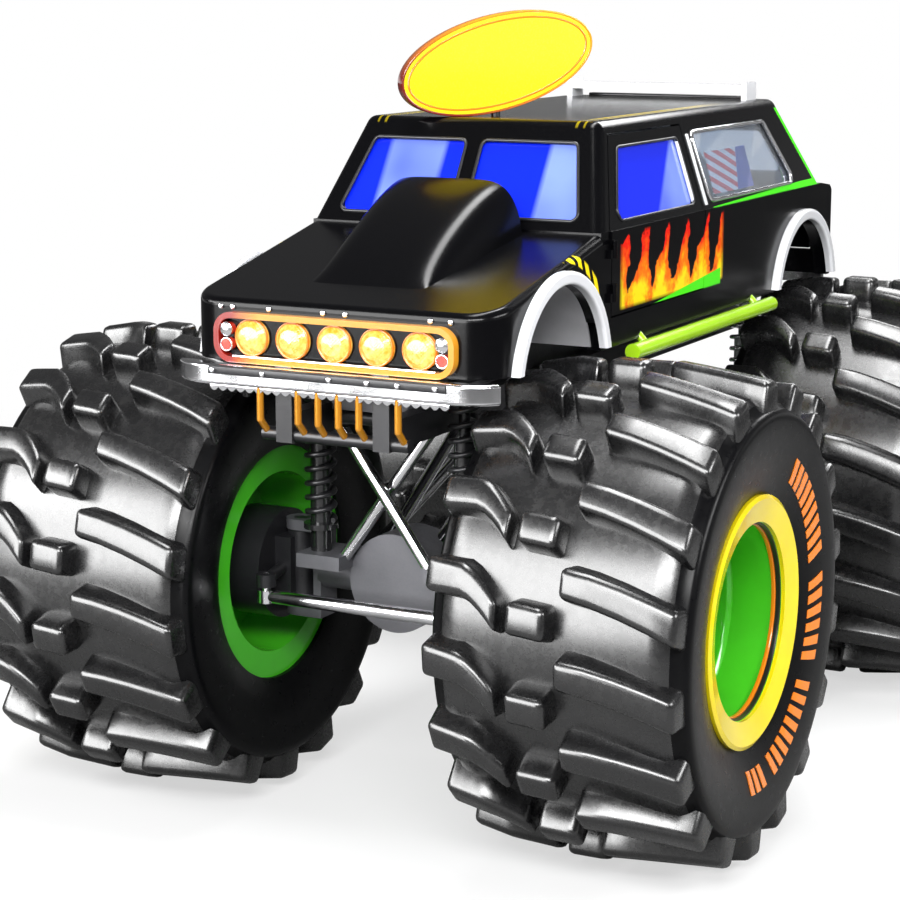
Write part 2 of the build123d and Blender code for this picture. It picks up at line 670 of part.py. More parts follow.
with BuildPart() as front_clip:
    clip_tall = FENDER_Z[1] - NOSE_BOTTOM
    extrude(nose_plan(NOSE_BOTTOM, 0), amount=clip_tall)
    extrude(nose_plan(NOSE_BOTTOM, WALL), amount=clip_tall, mode=Mode.SUBTRACT)
    side_prism(pane(FENDER), (-HALF, HALF), Mode.INTERSECT)
    bar((-HALF, FRONT_Y, ARCH_Z), (HALF, FRONT_Y, ARCH_Z), ARCH_RADIUS, Mode.SUBTRACT)
    for step in range(-2, 3):
        bar((step * LAMP_PITCH, NOSE_Y, LAMP_Z), (step * LAMP_PITCH, NOSE_Y + WALL, LAMP_Z),
            LAMP_RADIUS + SEAT_GAP, Mode.SUBTRACT)
    for side_name, side in SIDES:
        for rise in DOOR_HINGE_RISE:
            door_hinge(side, ROCKER_TOP + rise, -1)
save(front_clip.part, "front_clip")

# Wheel tubs: half-round wells behind the front arches, notched round the shock towers
with BuildPart() as wheel_tubs:
    for side_name, side in SIDES:
        tub_end = side * (HALF - WALL)
        bar((side * TUB_X, FRONT_Y, ARCH_Z), (tub_end, FRONT_Y, ARCH_Z), ARCH_RADIUS + TUB_THICK)
        bar((side * (TUB_X + TUB_THICK), FRONT_Y, ARCH_Z), (tub_end, FRONT_Y, ARCH_Z), ARCH_RADIUS, Mode.SUBTRACT)
    block((-HALF, HALF), (NOSE_Y, COWL_Y), (ARCH_Z - HALF, NOSE_BOTTOM), Mode.SUBTRACT)
    block((-DAMPER_X, DAMPER_X), (-TOWER_Y - TOWER_SHELF - SEAM, -TOWER_Y + TOWER_SHELF + SEAM),
          (TOWER_Z[0] - SEAM, TOWER_Z[1] + SEAM), Mode.SUBTRACT)
save(wheel_tubs.part, "wheel_tubs")

# Hood with rounded edges and the tall scoop that rises to the windscreen
HOOD_SLOPE = (FENDER_Z[1] - FENDER_Z[0]) / (COWL_Y - NOSE_Y)


def hood_z(y):
    """Height of the hood's top at a place along the truck."""
    return FENDER_Z[0] + HOOD_THICK + HOOD_SLOPE * (y - NOSE_Y)


# Scoop sections as (behind the nose, half width at the foot and at the top, rise, rounding of the ridges)
SCOOP = (
    (330, 250, 215, 18, 12),
    (560, 290, 230, 100, 40),
    (1045, 330, 240, 215, 60),
)
SCOOP_SUNK = 20  # foot of the scoop below the hood's top
with BuildPart() as hood:
    extrude(nose_plan(FENDER_Z[0], 0), amount=FENDER_Z[1] + HOOD_THICK - FENDER_Z[0])
    side_prism(
        pane(
            (
                (NOSE_Y, FENDER_Z[0]),
                (NOSE_Y, FENDER_Z[0] + HOOD_THICK),
                (COWL_Y, FENDER_Z[1] + HOOD_THICK),
                (COWL_Y, FENDER_Z[1]),
            )
        ),
        (-HALF, HALF),
        Mode.INTERSECT,
    )
    top = hood.faces().sort_by(lambda face: face.normal_at().Z)[-1]
    fillet(top.edges().sort_by(Axis.Y)[:-1], HOOD_ROUND)
    for behind, foot_half, top_half, rise, round_by in SCOOP:
        place_y = NOSE_Y + behind
        foot_z = hood_z(place_y) - SCOOP_SUNK
        top_z = hood_z(place_y) + rise
        with BuildSketch(Plane.XZ.offset(-place_y)) as section:
            Polygon((-foot_half, foot_z), (foot_half, foot_z), (top_half, top_z), (-top_half, top_z), align=None)
            fillet(section.vertices().group_by(Axis.Y)[-1], round_by)
    loft(ruled=True)
save(hood.part, "hood")

# Floor tub: floor, raised rear floor, firewall, cowl and rockers
FIREWALL_Y = (FENDER_END - 32, FENDER_END)
with BuildPart() as floor_tub:
    block((-INNER, INNER), (FIREWALL_Y[0], REAR_FLOOR_Y + FLOOR_THICK), FLOOR_Z)
    block((-INNER, INNER), (REAR_FLOOR_Y, REAR_FLOOR_Y + FLOOR_THICK), (FLOOR_Z[0], REAR_FLOOR_Z[1]))
    block((-INNER, INNER), (REAR_FLOOR_Y, TAIL_Y - 60), REAR_FLOOR_Z)
    block((WALL - HALF, HALF - WALL), FIREWALL_Y, (FLOOR_Z[0], FENDER_Z[1]))
    block((-CAB_HALF_LOW, CAB_HALF_LOW), (COWL_Y + 4, FIREWALL_Y[1]), (FENDER_Z[1], BELT_Z))
    for side_name, side in SIDES:
        block((side * INNER, side * HALF), (FRONT_Y + ARCH_RADIUS, REAR_Y - ARCH_RADIUS), (SILL_Z, ROCKER_TOP))
save(floor_tub.part, "floor_tub")


def cab_level(half, y_range, z, in_x, in_y):
    """Level outline of the cab, drawn in across and along the truck."""
    with BuildSketch(Plane.XY.offset(z)) as level:
        with Locations((0, sum(y_range) / 2)):
            Rectangle(2 * (half - in_x), y_range[1] - y_range[0] - 2 * in_y)
    return level.sketch


def cab_levels(inset):
    """Lower and upper outlines of the cab, drawn in by an inset square to its sloped ends."""
    return [
        cab_level(CAB_HALF_LOW, CAB_LOW_Y, BELT_Z, inset, 1.2 * inset),
        cab_level(CAB_HALF_HIGH, CAB_HIGH_Y, ROOF_Z, inset, 1.2 * inset),
    ]


with BuildPart() as greenhouse:
    loft(cab_levels(0), ruled=True)
    fillet(greenhouse.edges().group_by(Axis.Z)[1] + greenhouse.edges().group_by(Axis.Z)[-1], CAB_ROUND)
    loft(
        [
            cab_level(CAB_HALF_LOW, CAB_LOW_Y, BELT_Z - 1, WALL, 1.2 * WALL),
            cab_level(CAB_HALF_HIGH, CAB_HIGH_Y, ROOF_Z - WALL, WALL - 8, WALL),
        ],
        ruled=True,
        mode=Mode.SUBTRACT,
    )

# Outlines cut in the cab
GATE_TOP = WINDOW_HIGH + 30
GATE_HALF_LOW = CAB_HALF_LOW - GATE_POST
GATE_HALF_HIGH = CAB_HALF_HIGH - 70
MULLION = 40  # half width of the windscreen's middle post
DOOR_OUTLINE = (
    (DOOR_FRONT_Y, ROCKER_TOP + SEAM),
    (DOOR_FRONT_Y, BELT_Z + 10),
    (DOOR_FRONT_Y + 235, GATE_TOP),
    (DOOR_REAR_Y - 40, GATE_TOP),
    (DOOR_REAR_Y, BELT_Z),
    (DOOR_REAR_Y, ROCKER_TOP + SEAM),
)
DOOR_WINDOW = (
    (DOOR_FRONT_Y + 95, WINDOW_LOW),
    (DOOR_FRONT_Y + 300, WINDOW_HIGH - 25),
    (DOOR_REAR_Y - 110, WINDOW_HIGH - 25),
    (DOOR_REAR_Y - 80, WINDOW_LOW),
)
QUARTER_WINDOW = (
    (DOOR_REAR_Y + 120, WINDOW_LOW),
    (DOOR_REAR_Y + 70, WINDOW_HIGH - 10),
    (CAB_HIGH_Y[1] - 270, WINDOW_HIGH - 10),
    (CAB_LOW_Y[1] - 400, WINDOW_LOW),
)
WINDSCREEN = (
    (MULLION, WINDOW_LOW + 10),
    (CAB_HALF_LOW - 125, WINDOW_LOW + 10),
    (CAB_HALF_HIGH - 80, WINDOW_HIGH),
    (MULLION, WINDOW_HIGH),
)
GATE_FACE = (
    (-GATE_HALF_LOW, ROCKER_TOP + SEAM),
    (GATE_HALF_LOW, ROCKER_TOP + SEAM),
    (GATE_HALF_LOW, BELT_Z),
    (GATE_HALF_HIGH, GATE_TOP),
    (-GATE_HALF_HIGH, GATE_TOP),
    (-GATE_HALF_LOW, BELT_Z),
)
GATE_WINDOW = (
    (80 - GATE_HALF_LOW, WINDOW_LOW + 20),
    (GATE_HALF_LOW - 80, WINDOW_LOW + 20),
    (GATE_HALF_HIGH - 50, WINDOW_HIGH - 80),
    (50 - GATE_HALF_HIGH, WINDOW_HIGH - 80),
)
SIDE_CUT = (CAB_HALF_HIGH - 210, HALF + 40)
SCREEN_CUT = (CAB_LOW_Y[0] - 50, CAB_HIGH_Y[0] + 260)
GATE_CUT = (CAB_HIGH_Y[1] - 250, TAIL_Y + 90)
GATE_LEAN = GATE_RAKE / (ROOF_Z - BELT_Z)
GATE_HINGE_Z = GATE_TOP + 15
GATE_HINGE_Y = CAB_LOW_Y[1] - GATE_LEAN * (GATE_HINGE_Z - BELT_Z) + GATE_HINGE_OUT


def gate_barrel(x_range):
    """Barrel of a gate hinge between two x places, in the part being built."""
    bar((x_range[0], GATE_HINGE_Y, GATE_HINGE_Z), (x_range[1], GATE_HINGE_Y, GATE_HINGE_Z), GATE_HINGE_RADIUS)


with BuildPart() as upper_cab:
    add(greenhouse.part)
    for side_name, side in SIDES:
        cut_x = (side * SIDE_CUT[0], side * SIDE_CUT[1])
        side_prism(grown(DOOR_OUTLINE, SEAM), cut_x, Mode.SUBTRACT)
        side_prism(pane(QUARTER_WINDOW, WINDOW_ROUND), cut_x, Mode.SUBTRACT)
    front_prism(pane(WINDSCREEN, WINDOW_ROUND), SCREEN_CUT, Mode.SUBTRACT)
    front_prism(pane(mirrored(WINDSCREEN), WINDOW_ROUND), SCREEN_CUT, Mode.SUBTRACT)
    front_prism(grown(GATE_FACE, SEAM), GATE_CUT, Mode.SUBTRACT)
    for hinge_x in GATE_HINGE_X:
        hinge_end = hinge_x + GATE_HINGE_LONG
        gate_barrel((hinge_x, hinge_end))
        block((hinge_x, hinge_end), (GATE_HINGE_Y - 36, GATE_HINGE_Y), (GATE_HINGE_Z, GATE_HINGE_Z + 14))
save(upper_cab.part, "upper_cab")

# Doors: thick lower panel and the window frame that leans in with the cab
for side_name, side in SIDES:
    cut_x = (side * SIDE_CUT[0], side * SIDE_CUT[1])
    with BuildPart() as door:
        block((side * INNER, side * HALF), (DOOR_FRONT_Y, DOOR_REAR_Y), (ROCKER_TOP + SEAM, BELT_Z))
        add(greenhouse.part)
        side_prism(pane(DOOR_OUTLINE), cut_x, Mode.INTERSECT)
        side_prism(pane(DOOR_WINDOW, WINDOW_ROUND), cut_x, Mode.SUBTRACT)
        for rise in DOOR_HINGE_RISE:
            door_hinge(side, ROCKER_TOP + rise + DOOR_HINGE_LONG + SEAT_GAP, 1)
    save(door.part, f"door_{side_name}")

# Rear quarters under the cab, with their tail faces
TAIL_SHOULDER = ((TAIL_Y - 60, BELT_Z - 20), (TAIL_Y, BELT_Z - 80))
QUARTER = (
    (DOOR_REAR_Y + SEAM, ROCKER_TOP),
    (DOOR_REAR_Y + SEAM, BELT_Z),
    (CAB_LOW_Y[1], BELT_Z),
    *TAIL_SHOULDER,
    (TAIL_Y, SILL_Z),
    (REAR_Y, SILL_Z),
    (REAR_Y, ROCKER_TOP),
)
TAIL_FACE = ((TAIL_Y - WALL, SILL_Z), (TAIL_Y - WALL, BELT_Z - 30), (TAIL_Y, BELT_Z - 80), (TAIL_Y, SILL_Z))
with BuildPart() as rear_quarters:
    side_prism(pane(QUARTER), (INNER, HALF))
    side_prism(pane(TAIL_FACE), (GATE_HALF_LOW + SEAM, HALF))
    block((0, HALF), (TAIL_Y - WALL, TAIL_Y), (SILL_Z, ROCKER_TOP))
    upright_edges = rear_quarters.edges().filter_by(Axis.Z)
    fillet(upright_edges.sort_by(lambda edge: edge.center().X + edge.center().Y)[-1], TAIL_ROUND)
    bar((0, REAR_Y, ARCH_Z), (HALF, REAR_Y, ARCH_Z), ARCH_RADIUS, Mode.SUBTRACT)
    mirror(about=Plane.YZ)
save(rear_quarters.part, "rear_quarters")

# Liftgate: sloped window part, shoulder and flat lower panel
GATE_TOP_Y = CAB_LOW_Y[1] - GATE_LEAN * (GATE_TOP - BELT_Z)
GATE_SIDE = (
    (GATE_TOP_Y, GATE_TOP),
    (CAB_LOW_Y[1], BELT_Z),
    *TAIL_SHOULDER,
    (TAIL_Y, ROCKER_TOP + SEAM),
    (TAIL_Y - WALL, ROCKER_TOP + SEAM),
    (TAIL_Y - WALL, BELT_Z - 100),
    (TAIL_Y - 80, BELT_Z - 65),
    (CAB_LOW_Y[1] - 40, BELT_Z - 45),
    (GATE_TOP_Y - 53, GATE_TOP),
)
with BuildPart() as liftgate:
    side_prism(pane(GATE_SIDE), (-GATE_HALF_LOW, GATE_HALF_LOW))
    front_prism(pane(GATE_FACE), GATE_CUT, Mode.INTERSECT)
    front_prism(pane(GATE_WINDOW, WINDOW_ROUND), GATE_CUT, Mode.SUBTRACT)
    for hinge_x in GATE_HINGE_X:
        leaf_x = (hinge_x + GATE_HINGE_LONG + SEAT_GAP, hinge_x + 2 * GATE_HINGE_LONG)
        gate_barrel(leaf_x)
        block(leaf_x, (GATE_HINGE_Y - 10, GATE_HINGE_Y + 8), (GATE_TOP - 20, GATE_HINGE_Z))
save(liftgate.part, "liftgate")

# Window glass, held in the thickness of the cab's walls
with BuildPart() as glazing:
    loft(cab_levels(GLASS_INSET), ruled=True)
    loft(cab_levels(GLASS_INSET + GLASS), ruled=True, mode=Mode.SUBTRACT)

with BuildPart() as windscreen:
    for outline in (WINDSCREEN, mirrored(WINDSCREEN)):
        front_prism(pane(outline, WINDOW_ROUND), SCREEN_CUT)
    add(glazing.part, mode=Mode.INTERSECT)
save(windscreen.part, "windscreen")

for side_name, side in SIDES:
    with BuildPart() as door_glass:
        side_prism(pane(DOOR_WINDOW, WINDOW_ROUND), (side * SIDE_CUT[0], side * SIDE_CUT[1]))
        add(glazing.part, mode=Mode.INTERSECT)
    save(door_glass.part, f"door_glass_{side_name}")

with BuildPart() as quarter_glass:
    for side_name, side in SIDES:
        side_prism(pane(QUARTER_WINDOW, WINDOW_ROUND), (side * SIDE_CUT[0], side * SIDE_CUT[1]))
    add(glazing.part, mode=Mode.INTERSECT)
save(quarter_glass.part, "quarter_glass")

with BuildPart() as gate_glass:
    glass_long = 1.3 * GLASS  # along the truck, through the sloped pane
    gate_pane = (
        (GATE_TOP_Y - GLASS_INSET, GATE_TOP),
        (CAB_LOW_Y[1] - GLASS_INSET, BELT_Z),
        (CAB_LOW_Y[1] - GLASS_INSET - glass_long, BELT_Z),
        (GATE_TOP_Y - GLASS_INSET - glass_long, GATE_TOP),
    )
    side_prism(pane(gate_pane), (-GATE_HALF_LOW, GATE_HALF_LOW))
    front_prism(pane(GATE_WINDOW, WINDOW_ROUND), GATE_CUT, Mode.INTERSECT)
save(gate_glass.part, "gate_glass")

# White lips round the four wheel arches
with BuildPart() as arch_lips:
    for axle_y in (FRONT_Y, REAR_Y):
        start = (HALF, axle_y, ARCH_Z)
        end = (HALF + LIP_OUT, axle_y, ARCH_Z)
        bar(start, end, ARCH_RADIUS + LIP_WIDTH)
        bar(start, end, ARCH_RADIUS, Mode.SUBTRACT)
    fillet(arch_lips.faces().sort_by(Axis.X)[-2:].edges(), LIP_ROUND)
    block((HALF, HALF + LIP_OUT), (NOSE_Y, TAIL_Y), (ARCH_Z - HALF, NOSE_BOTTOM), Mode.SUBTRACT)
    mirror(about=Plane.YZ)
save(arch_lips.part, "arch_lips")

# Nose fittings: lamp surround, five lamps, corner markers
with BuildPart() as lamp_surround:
    with BuildSketch(Plane.XZ.offset(-NOSE_Y)):
        with Locations((0, LAMP_Z)):
            RectangleRounded(SURROUND_WIDE, SURROUND_TALL, SURROUND_ROUND)
            RectangleRounded(
                SURROUND_WIDE - 2 * SURROUND_BAND,
                SURROUND_TALL - 2 * SURROUND_BAND,
                SURROUND_ROUND - SURROUND_BAND,
                mode=Mode.SUBTRACT,
            )
    extrude(amount=SURROUND_OUT)
save(lamp_surround.part, "lamp_surround")

LAMP_SECTION = ((0, -48), (50, -40), (LAMP_RADIUS, -14), (LAMP_RADIUS, WALL), (0, WALL))
with BuildPart() as lamps:
    for step in range(-2, 3):
        place = step * LAMP_PITCH
        with BuildSketch(Plane(origin=(place, NOSE_Y, LAMP_Z), x_dir=(1, 0, 0), z_dir=(0, 0, 1))):
            Polygon(*LAMP_SECTION, align=None)
        revolve(axis=Axis((place, NOSE_Y, LAMP_Z), (0, 1, 0)))
save(lamps.part, "lamps")

MARKER_X = 2 * LAMP_PITCH + LAMP_RADIUS + MARKER_RADIUS + 6
with BuildPart() as marker_lamps:
    for side_name, side in SIDES:
        for rise in (-MARKER_RISE, MARKER_RISE):
            base = (side * MARKER_X, NOSE_Y, LAMP_Z + rise)
            bar(base, (side * MARKER_X, NOSE_Y - SURROUND_OUT + 7, LAMP_Z + rise), MARKER_RADIUS)
save(marker_lamps.part, "marker_lamps")

# Front bumper, wrapped round the nose's corners, and the hooked bars below it
BUMPER_Z = (NOSE_BOTTOM - BUMPER_DROP[0], NOSE_BOTTOM - BUMPER_DROP[1])
with BuildPart() as front_bumper:
    bumper_tall = BUMPER_Z[1] - BUMPER_Z[0]
    extrude(nose_plan(BUMPER_Z[0], -BUMPER_OUT), amount=bumper_tall)
    block((-BODY_WIDTH, BODY_WIDTH), (NOSE_Y - BUMPER_END, FENDER_END), BUMPER_Z, Mode.SUBTRACT)
    level_edges = front_bumper.faces().filter_by(Axis.Z).edges()
    fillet(level_edges.filter_by(lambda edge: edge.center().Y < NOSE_Y - BUMPER_END - 1), BUMPER_ROUND)
    extrude(nose_plan(BUMPER_Z[0], -HORN_REACH), amount=bumper_tall, mode=Mode.SUBTRACT)
save(front_bumper.part, "front_bumper")

HOOP_Y = NOSE_Y - (HORN_REACH + BUMPER_OUT) / 2
with BuildPart() as front_hoops:
    for hoop_x in HOOP_X:
        bend = (hoop_x, HOOP_Y, GUARD_Z + HOOP_BEND)
        bar((hoop_x, HOOP_Y, BUMPER_Z[0]), bend, HOOP_RADIUS)
        with Locations(bend):
            Sphere(HOOP_RADIUS)
        bar(bend, (hoop_x, GUARD_Y, GUARD_Z), HOOP_RADIUS)
    bar((-GUARD_HALF, GUARD_Y, GUARD_Z), (GUARD_HALF, GUARD_Y, GUARD_Z), GUARD_RADIUS + SEAT_GAP, Mode.SUBTRACT)
save(front_hoops.part, "front_hoops")

# Rear bumper, tow plate and tail lamps
REAR_BUMPER_BACK = REAR_HORN_Y[1] + REAR_BUMPER_THICK
TOW_Y = REAR_BUMPER_BACK + TOW_REACH
with BuildPart() as rear_bumper:
    bumper_half = HALF - REAR_BUMPER_IN
    block((-bumper_half, bumper_half), (REAR_HORN_Y[1], REAR_BUMPER_BACK),
          (SILL_Z + REAR_BUMPER_RISE[0], SILL_Z + REAR_BUMPER_RISE[1]))
    fillet(rear_bumper.edges().filter_by(Axis.Z).sort_by(Axis.Y)[-2:], REAR_BUMPER_ROUND)
save(rear_bumper.part, "rear_bumper")

with BuildPart() as tow_plate:
    block((-TOW_HALF, TOW_HALF), (CROSS_Y[-1] + CROSS_RADIUS, TOW_Y + TOW_REACH),
          (CROSS_Z - TOW_THICK / 2, CROSS_Z + TOW_THICK / 2))
    with Locations((0, TOW_Y, CROSS_Z)):
        Cylinder(TOW_BORE, 2 * TOW_THICK, mode=Mode.SUBTRACT)
save(tow_plate.part, "tow_plate")

with BuildPart() as tail_lamps:
    for side_name, side in SIDES:
        block((side * (GATE_HALF_LOW + 18), side * (HALF - TAIL_ROUND - 15)), (TAIL_Y, TAIL_Y + TAIL_LAMP_OUT),
              (SILL_Z + TAIL_LAMP_RISE[0], SILL_Z + TAIL_LAMP_RISE[1]))
save(tail_lamps.part, "tail_lamps")

# Oval sign, turned to the left front corner, on its post
SIGN_CENTRE = (SIGN_PLACE[0], CAB_HIGH_Y[0] + SIGN_PLACE[1], ROOF_Z + SIGN_PLACE[2])
with BuildPart() as roof_sign:
    with BuildSketch(Plane(origin=SIGN_CENTRE, x_dir=(0.686, 0.686, 0.242), z_dir=(0.7071, -0.7071, 0))):
        Ellipse(*SIGN_RADII)
    extrude(amount=SIGN_THICK / 2, both=True)
save(roof_sign.part, "roof_sign")

with BuildPart() as sign_post:
    bar((SIGN_CENTRE[0], SIGN_CENTRE[1], ROOF_Z), SIGN_CENTRE, SIGN_POST)
    add(roof_sign.part, mode=Mode.SUBTRACT)
save(sign_post.part, "sign_post")

# Roof bar across the rear and the tubes along the sills
BAR_HALF = CAB_HALF_HIGH - ROOF_BAR_IN
with BuildPart() as roof_bar:
    bar_y = (CAB_HIGH_Y[1] - ROOF_BAR_Y[0], CAB_HIGH_Y[1] - ROOF_BAR_Y[1])
    block((-BAR_HALF, BAR_HALF), bar_y, (ROOF_Z + ROOF_BAR_RISE[0], ROOF_Z + ROOF_BAR_RISE[1]))
    for side_name, side in SIDES:
        block((side * BAR_HALF, side * (BAR_HALF - ROOF_BAR_END[1])), (bar_y[0] - 10, bar_y[1] + 10),
              (ROOF_Z, ROOF_Z + ROOF_BAR_END[0]))
save(roof_bar.part, "roof_bar")

with BuildPart() as side_tubes:
    tube_x = HALF + TUBE_OUT
    tube_z = SILL_Z - TUBE_DROP
    tube_y = (FRONT_Y + TUBE_Y[0], REAR_Y - TUBE_Y[1])
    bar((tube_x, tube_y[0], tube_z), (tube_x, tube_y[1], tube_z), TUBE_RADIUS)
    for stay_y in (tube_y[0] + TUBE_STEP, tube_y[1] - TUBE_STEP):
        bar((tube_x, stay_y, tube_z), (tube_x - 80, stay_y, tube_z + 80), TUBE_STAY)
    block((INNER, HALF), tube_y, (SILL_Z, ROCKER_TOP), Mode.SUBTRACT)
    mirror(about=Plane.YZ)
save(side_tubes.part, "side_tubes")

# Cabin: seats, dash with steering wheel, roll cage
# Seat outline as (behind the door's front edge, above the floor)
SEAT_SIDE = ((590, 0), (570, 150), (1040, 130), (1130, 630), (1220, 630), (1170, 0))
with BuildPart() as seats:
    side_prism(pane([(DOOR_FRONT_Y + behind, FLOOR_Z[1] + rise) for behind, rise in SEAT_SIDE]), SEAT_X)
    mirror(about=Plane.YZ)
save(seats.part, "seats")

STEER_CENTRE = (STEER_PLACE[0], DOOR_FRONT_Y + STEER_PLACE[1], BELT_Z + STEER_PLACE[2])
with BuildPart() as dash:
    dash_half = INNER - DASH_IN
    dash_y = DOOR_FRONT_Y + DASH_DEEP
    block((-dash_half, dash_half), (FIREWALL_Y[1], dash_y), (BELT_Z - DASH_DROP[0], BELT_Z - DASH_DROP[1]))
    bar((STEER_PLACE[0], dash_y - 20, BELT_Z - sum(DASH_DROP) / 2), STEER_CENTRE, COLUMN_RADIUS)
    with BuildSketch(Plane(origin=STEER_CENTRE, x_dir=(1, 0, 0), z_dir=(0, 3, 1))) as steering_wheel:
        Circle(STEER_RADII[1])
        Circle(STEER_RADII[0], mode=Mode.SUBTRACT)
        Rectangle(2 * STEER_RADII[0] + 4, 40)
    extrude(steering_wheel.sketch, amount=STEER_THICK)
save(dash.part, "dash")

with BuildPart() as roll_cage:
    hoop_y = DOOR_REAR_Y + CAGE_Y[0]
    foot_half = CAB_HALF_LOW - CAGE_IN[0]
    top_half = CAB_HALF_HIGH - CAGE_IN[1]
    top_z = ROOF_Z - CAGE_DROP
    for side_name, side in SIDES:
        top_corner = (side * top_half, hoop_y, top_z)
        bar((side * foot_half, hoop_y, FLOOR_Z[0]), top_corner, CAGE_RADIUS)
        bar(top_corner, (side * foot_half, REAR_FLOOR_Y + CAGE_Y[1], REAR_FLOOR_Z[0]), CAGE_RADIUS)
        with Locations(top_corner):
            Sphere(CAGE_RADIUS)
    bar((-top_half, hoop_y, top_z), (top_half, hoop_y, top_z), CAGE_RADIUS)
    block((-INNER, INNER), (DOOR_FRONT_Y, REAR_FLOOR_Y), (FLOOR_Z[0] - 100, FLOOR_Z[1]), Mode.SUBTRACT)
    block((-INNER, INNER), (REAR_FLOOR_Y, TAIL_Y), (REAR_FLOOR_Z[0] - 100, REAR_FLOOR_Z[1]), Mode.SUBTRACT)
save(roll_cage.part, "roll_cage")
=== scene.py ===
"""Monster truck in the studio: finishes, tyres, coils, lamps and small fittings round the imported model.

Metres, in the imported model's frame: Z is up, the truck faces -Y and +X is its left side.
"""

import json
import logging
import math
from dataclasses import astuple, dataclass, replace
from enum import Enum
from itertools import pairwise
from typing import Callable, Iterable, Optional, Sequence, Union

import bpy
from mathutils import Matrix, Vector


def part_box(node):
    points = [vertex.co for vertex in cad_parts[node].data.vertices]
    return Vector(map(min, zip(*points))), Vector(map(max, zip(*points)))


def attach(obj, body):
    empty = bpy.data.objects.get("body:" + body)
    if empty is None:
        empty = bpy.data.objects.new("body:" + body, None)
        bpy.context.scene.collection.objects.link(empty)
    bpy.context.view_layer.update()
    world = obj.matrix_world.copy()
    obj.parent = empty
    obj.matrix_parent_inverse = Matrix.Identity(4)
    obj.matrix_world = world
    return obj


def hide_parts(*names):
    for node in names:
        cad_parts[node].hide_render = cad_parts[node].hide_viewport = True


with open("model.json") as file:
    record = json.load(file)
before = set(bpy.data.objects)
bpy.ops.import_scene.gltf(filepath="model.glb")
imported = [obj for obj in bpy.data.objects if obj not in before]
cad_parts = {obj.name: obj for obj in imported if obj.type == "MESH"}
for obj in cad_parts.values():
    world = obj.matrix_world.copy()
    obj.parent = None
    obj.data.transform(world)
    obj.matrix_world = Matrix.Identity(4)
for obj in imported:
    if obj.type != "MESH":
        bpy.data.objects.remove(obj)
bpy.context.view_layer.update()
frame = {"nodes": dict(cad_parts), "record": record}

LOG = logging.getLogger("monster_truck")
CHASSIS = "chassis"
BAR_BEND = 1.4
Colour = tuple[float, float, float]
Point = Sequence[float]
Span = tuple[float, float]
Outline = Sequence[Span]
Piece = bpy.types.Object
Socket = bpy.types.NodeSocket
Feed = Union[Socket, float, Point]


class Side(Enum):
    """The truck's two sides, with the sign of their X."""

    LEFT = 1
    RIGHT = -1


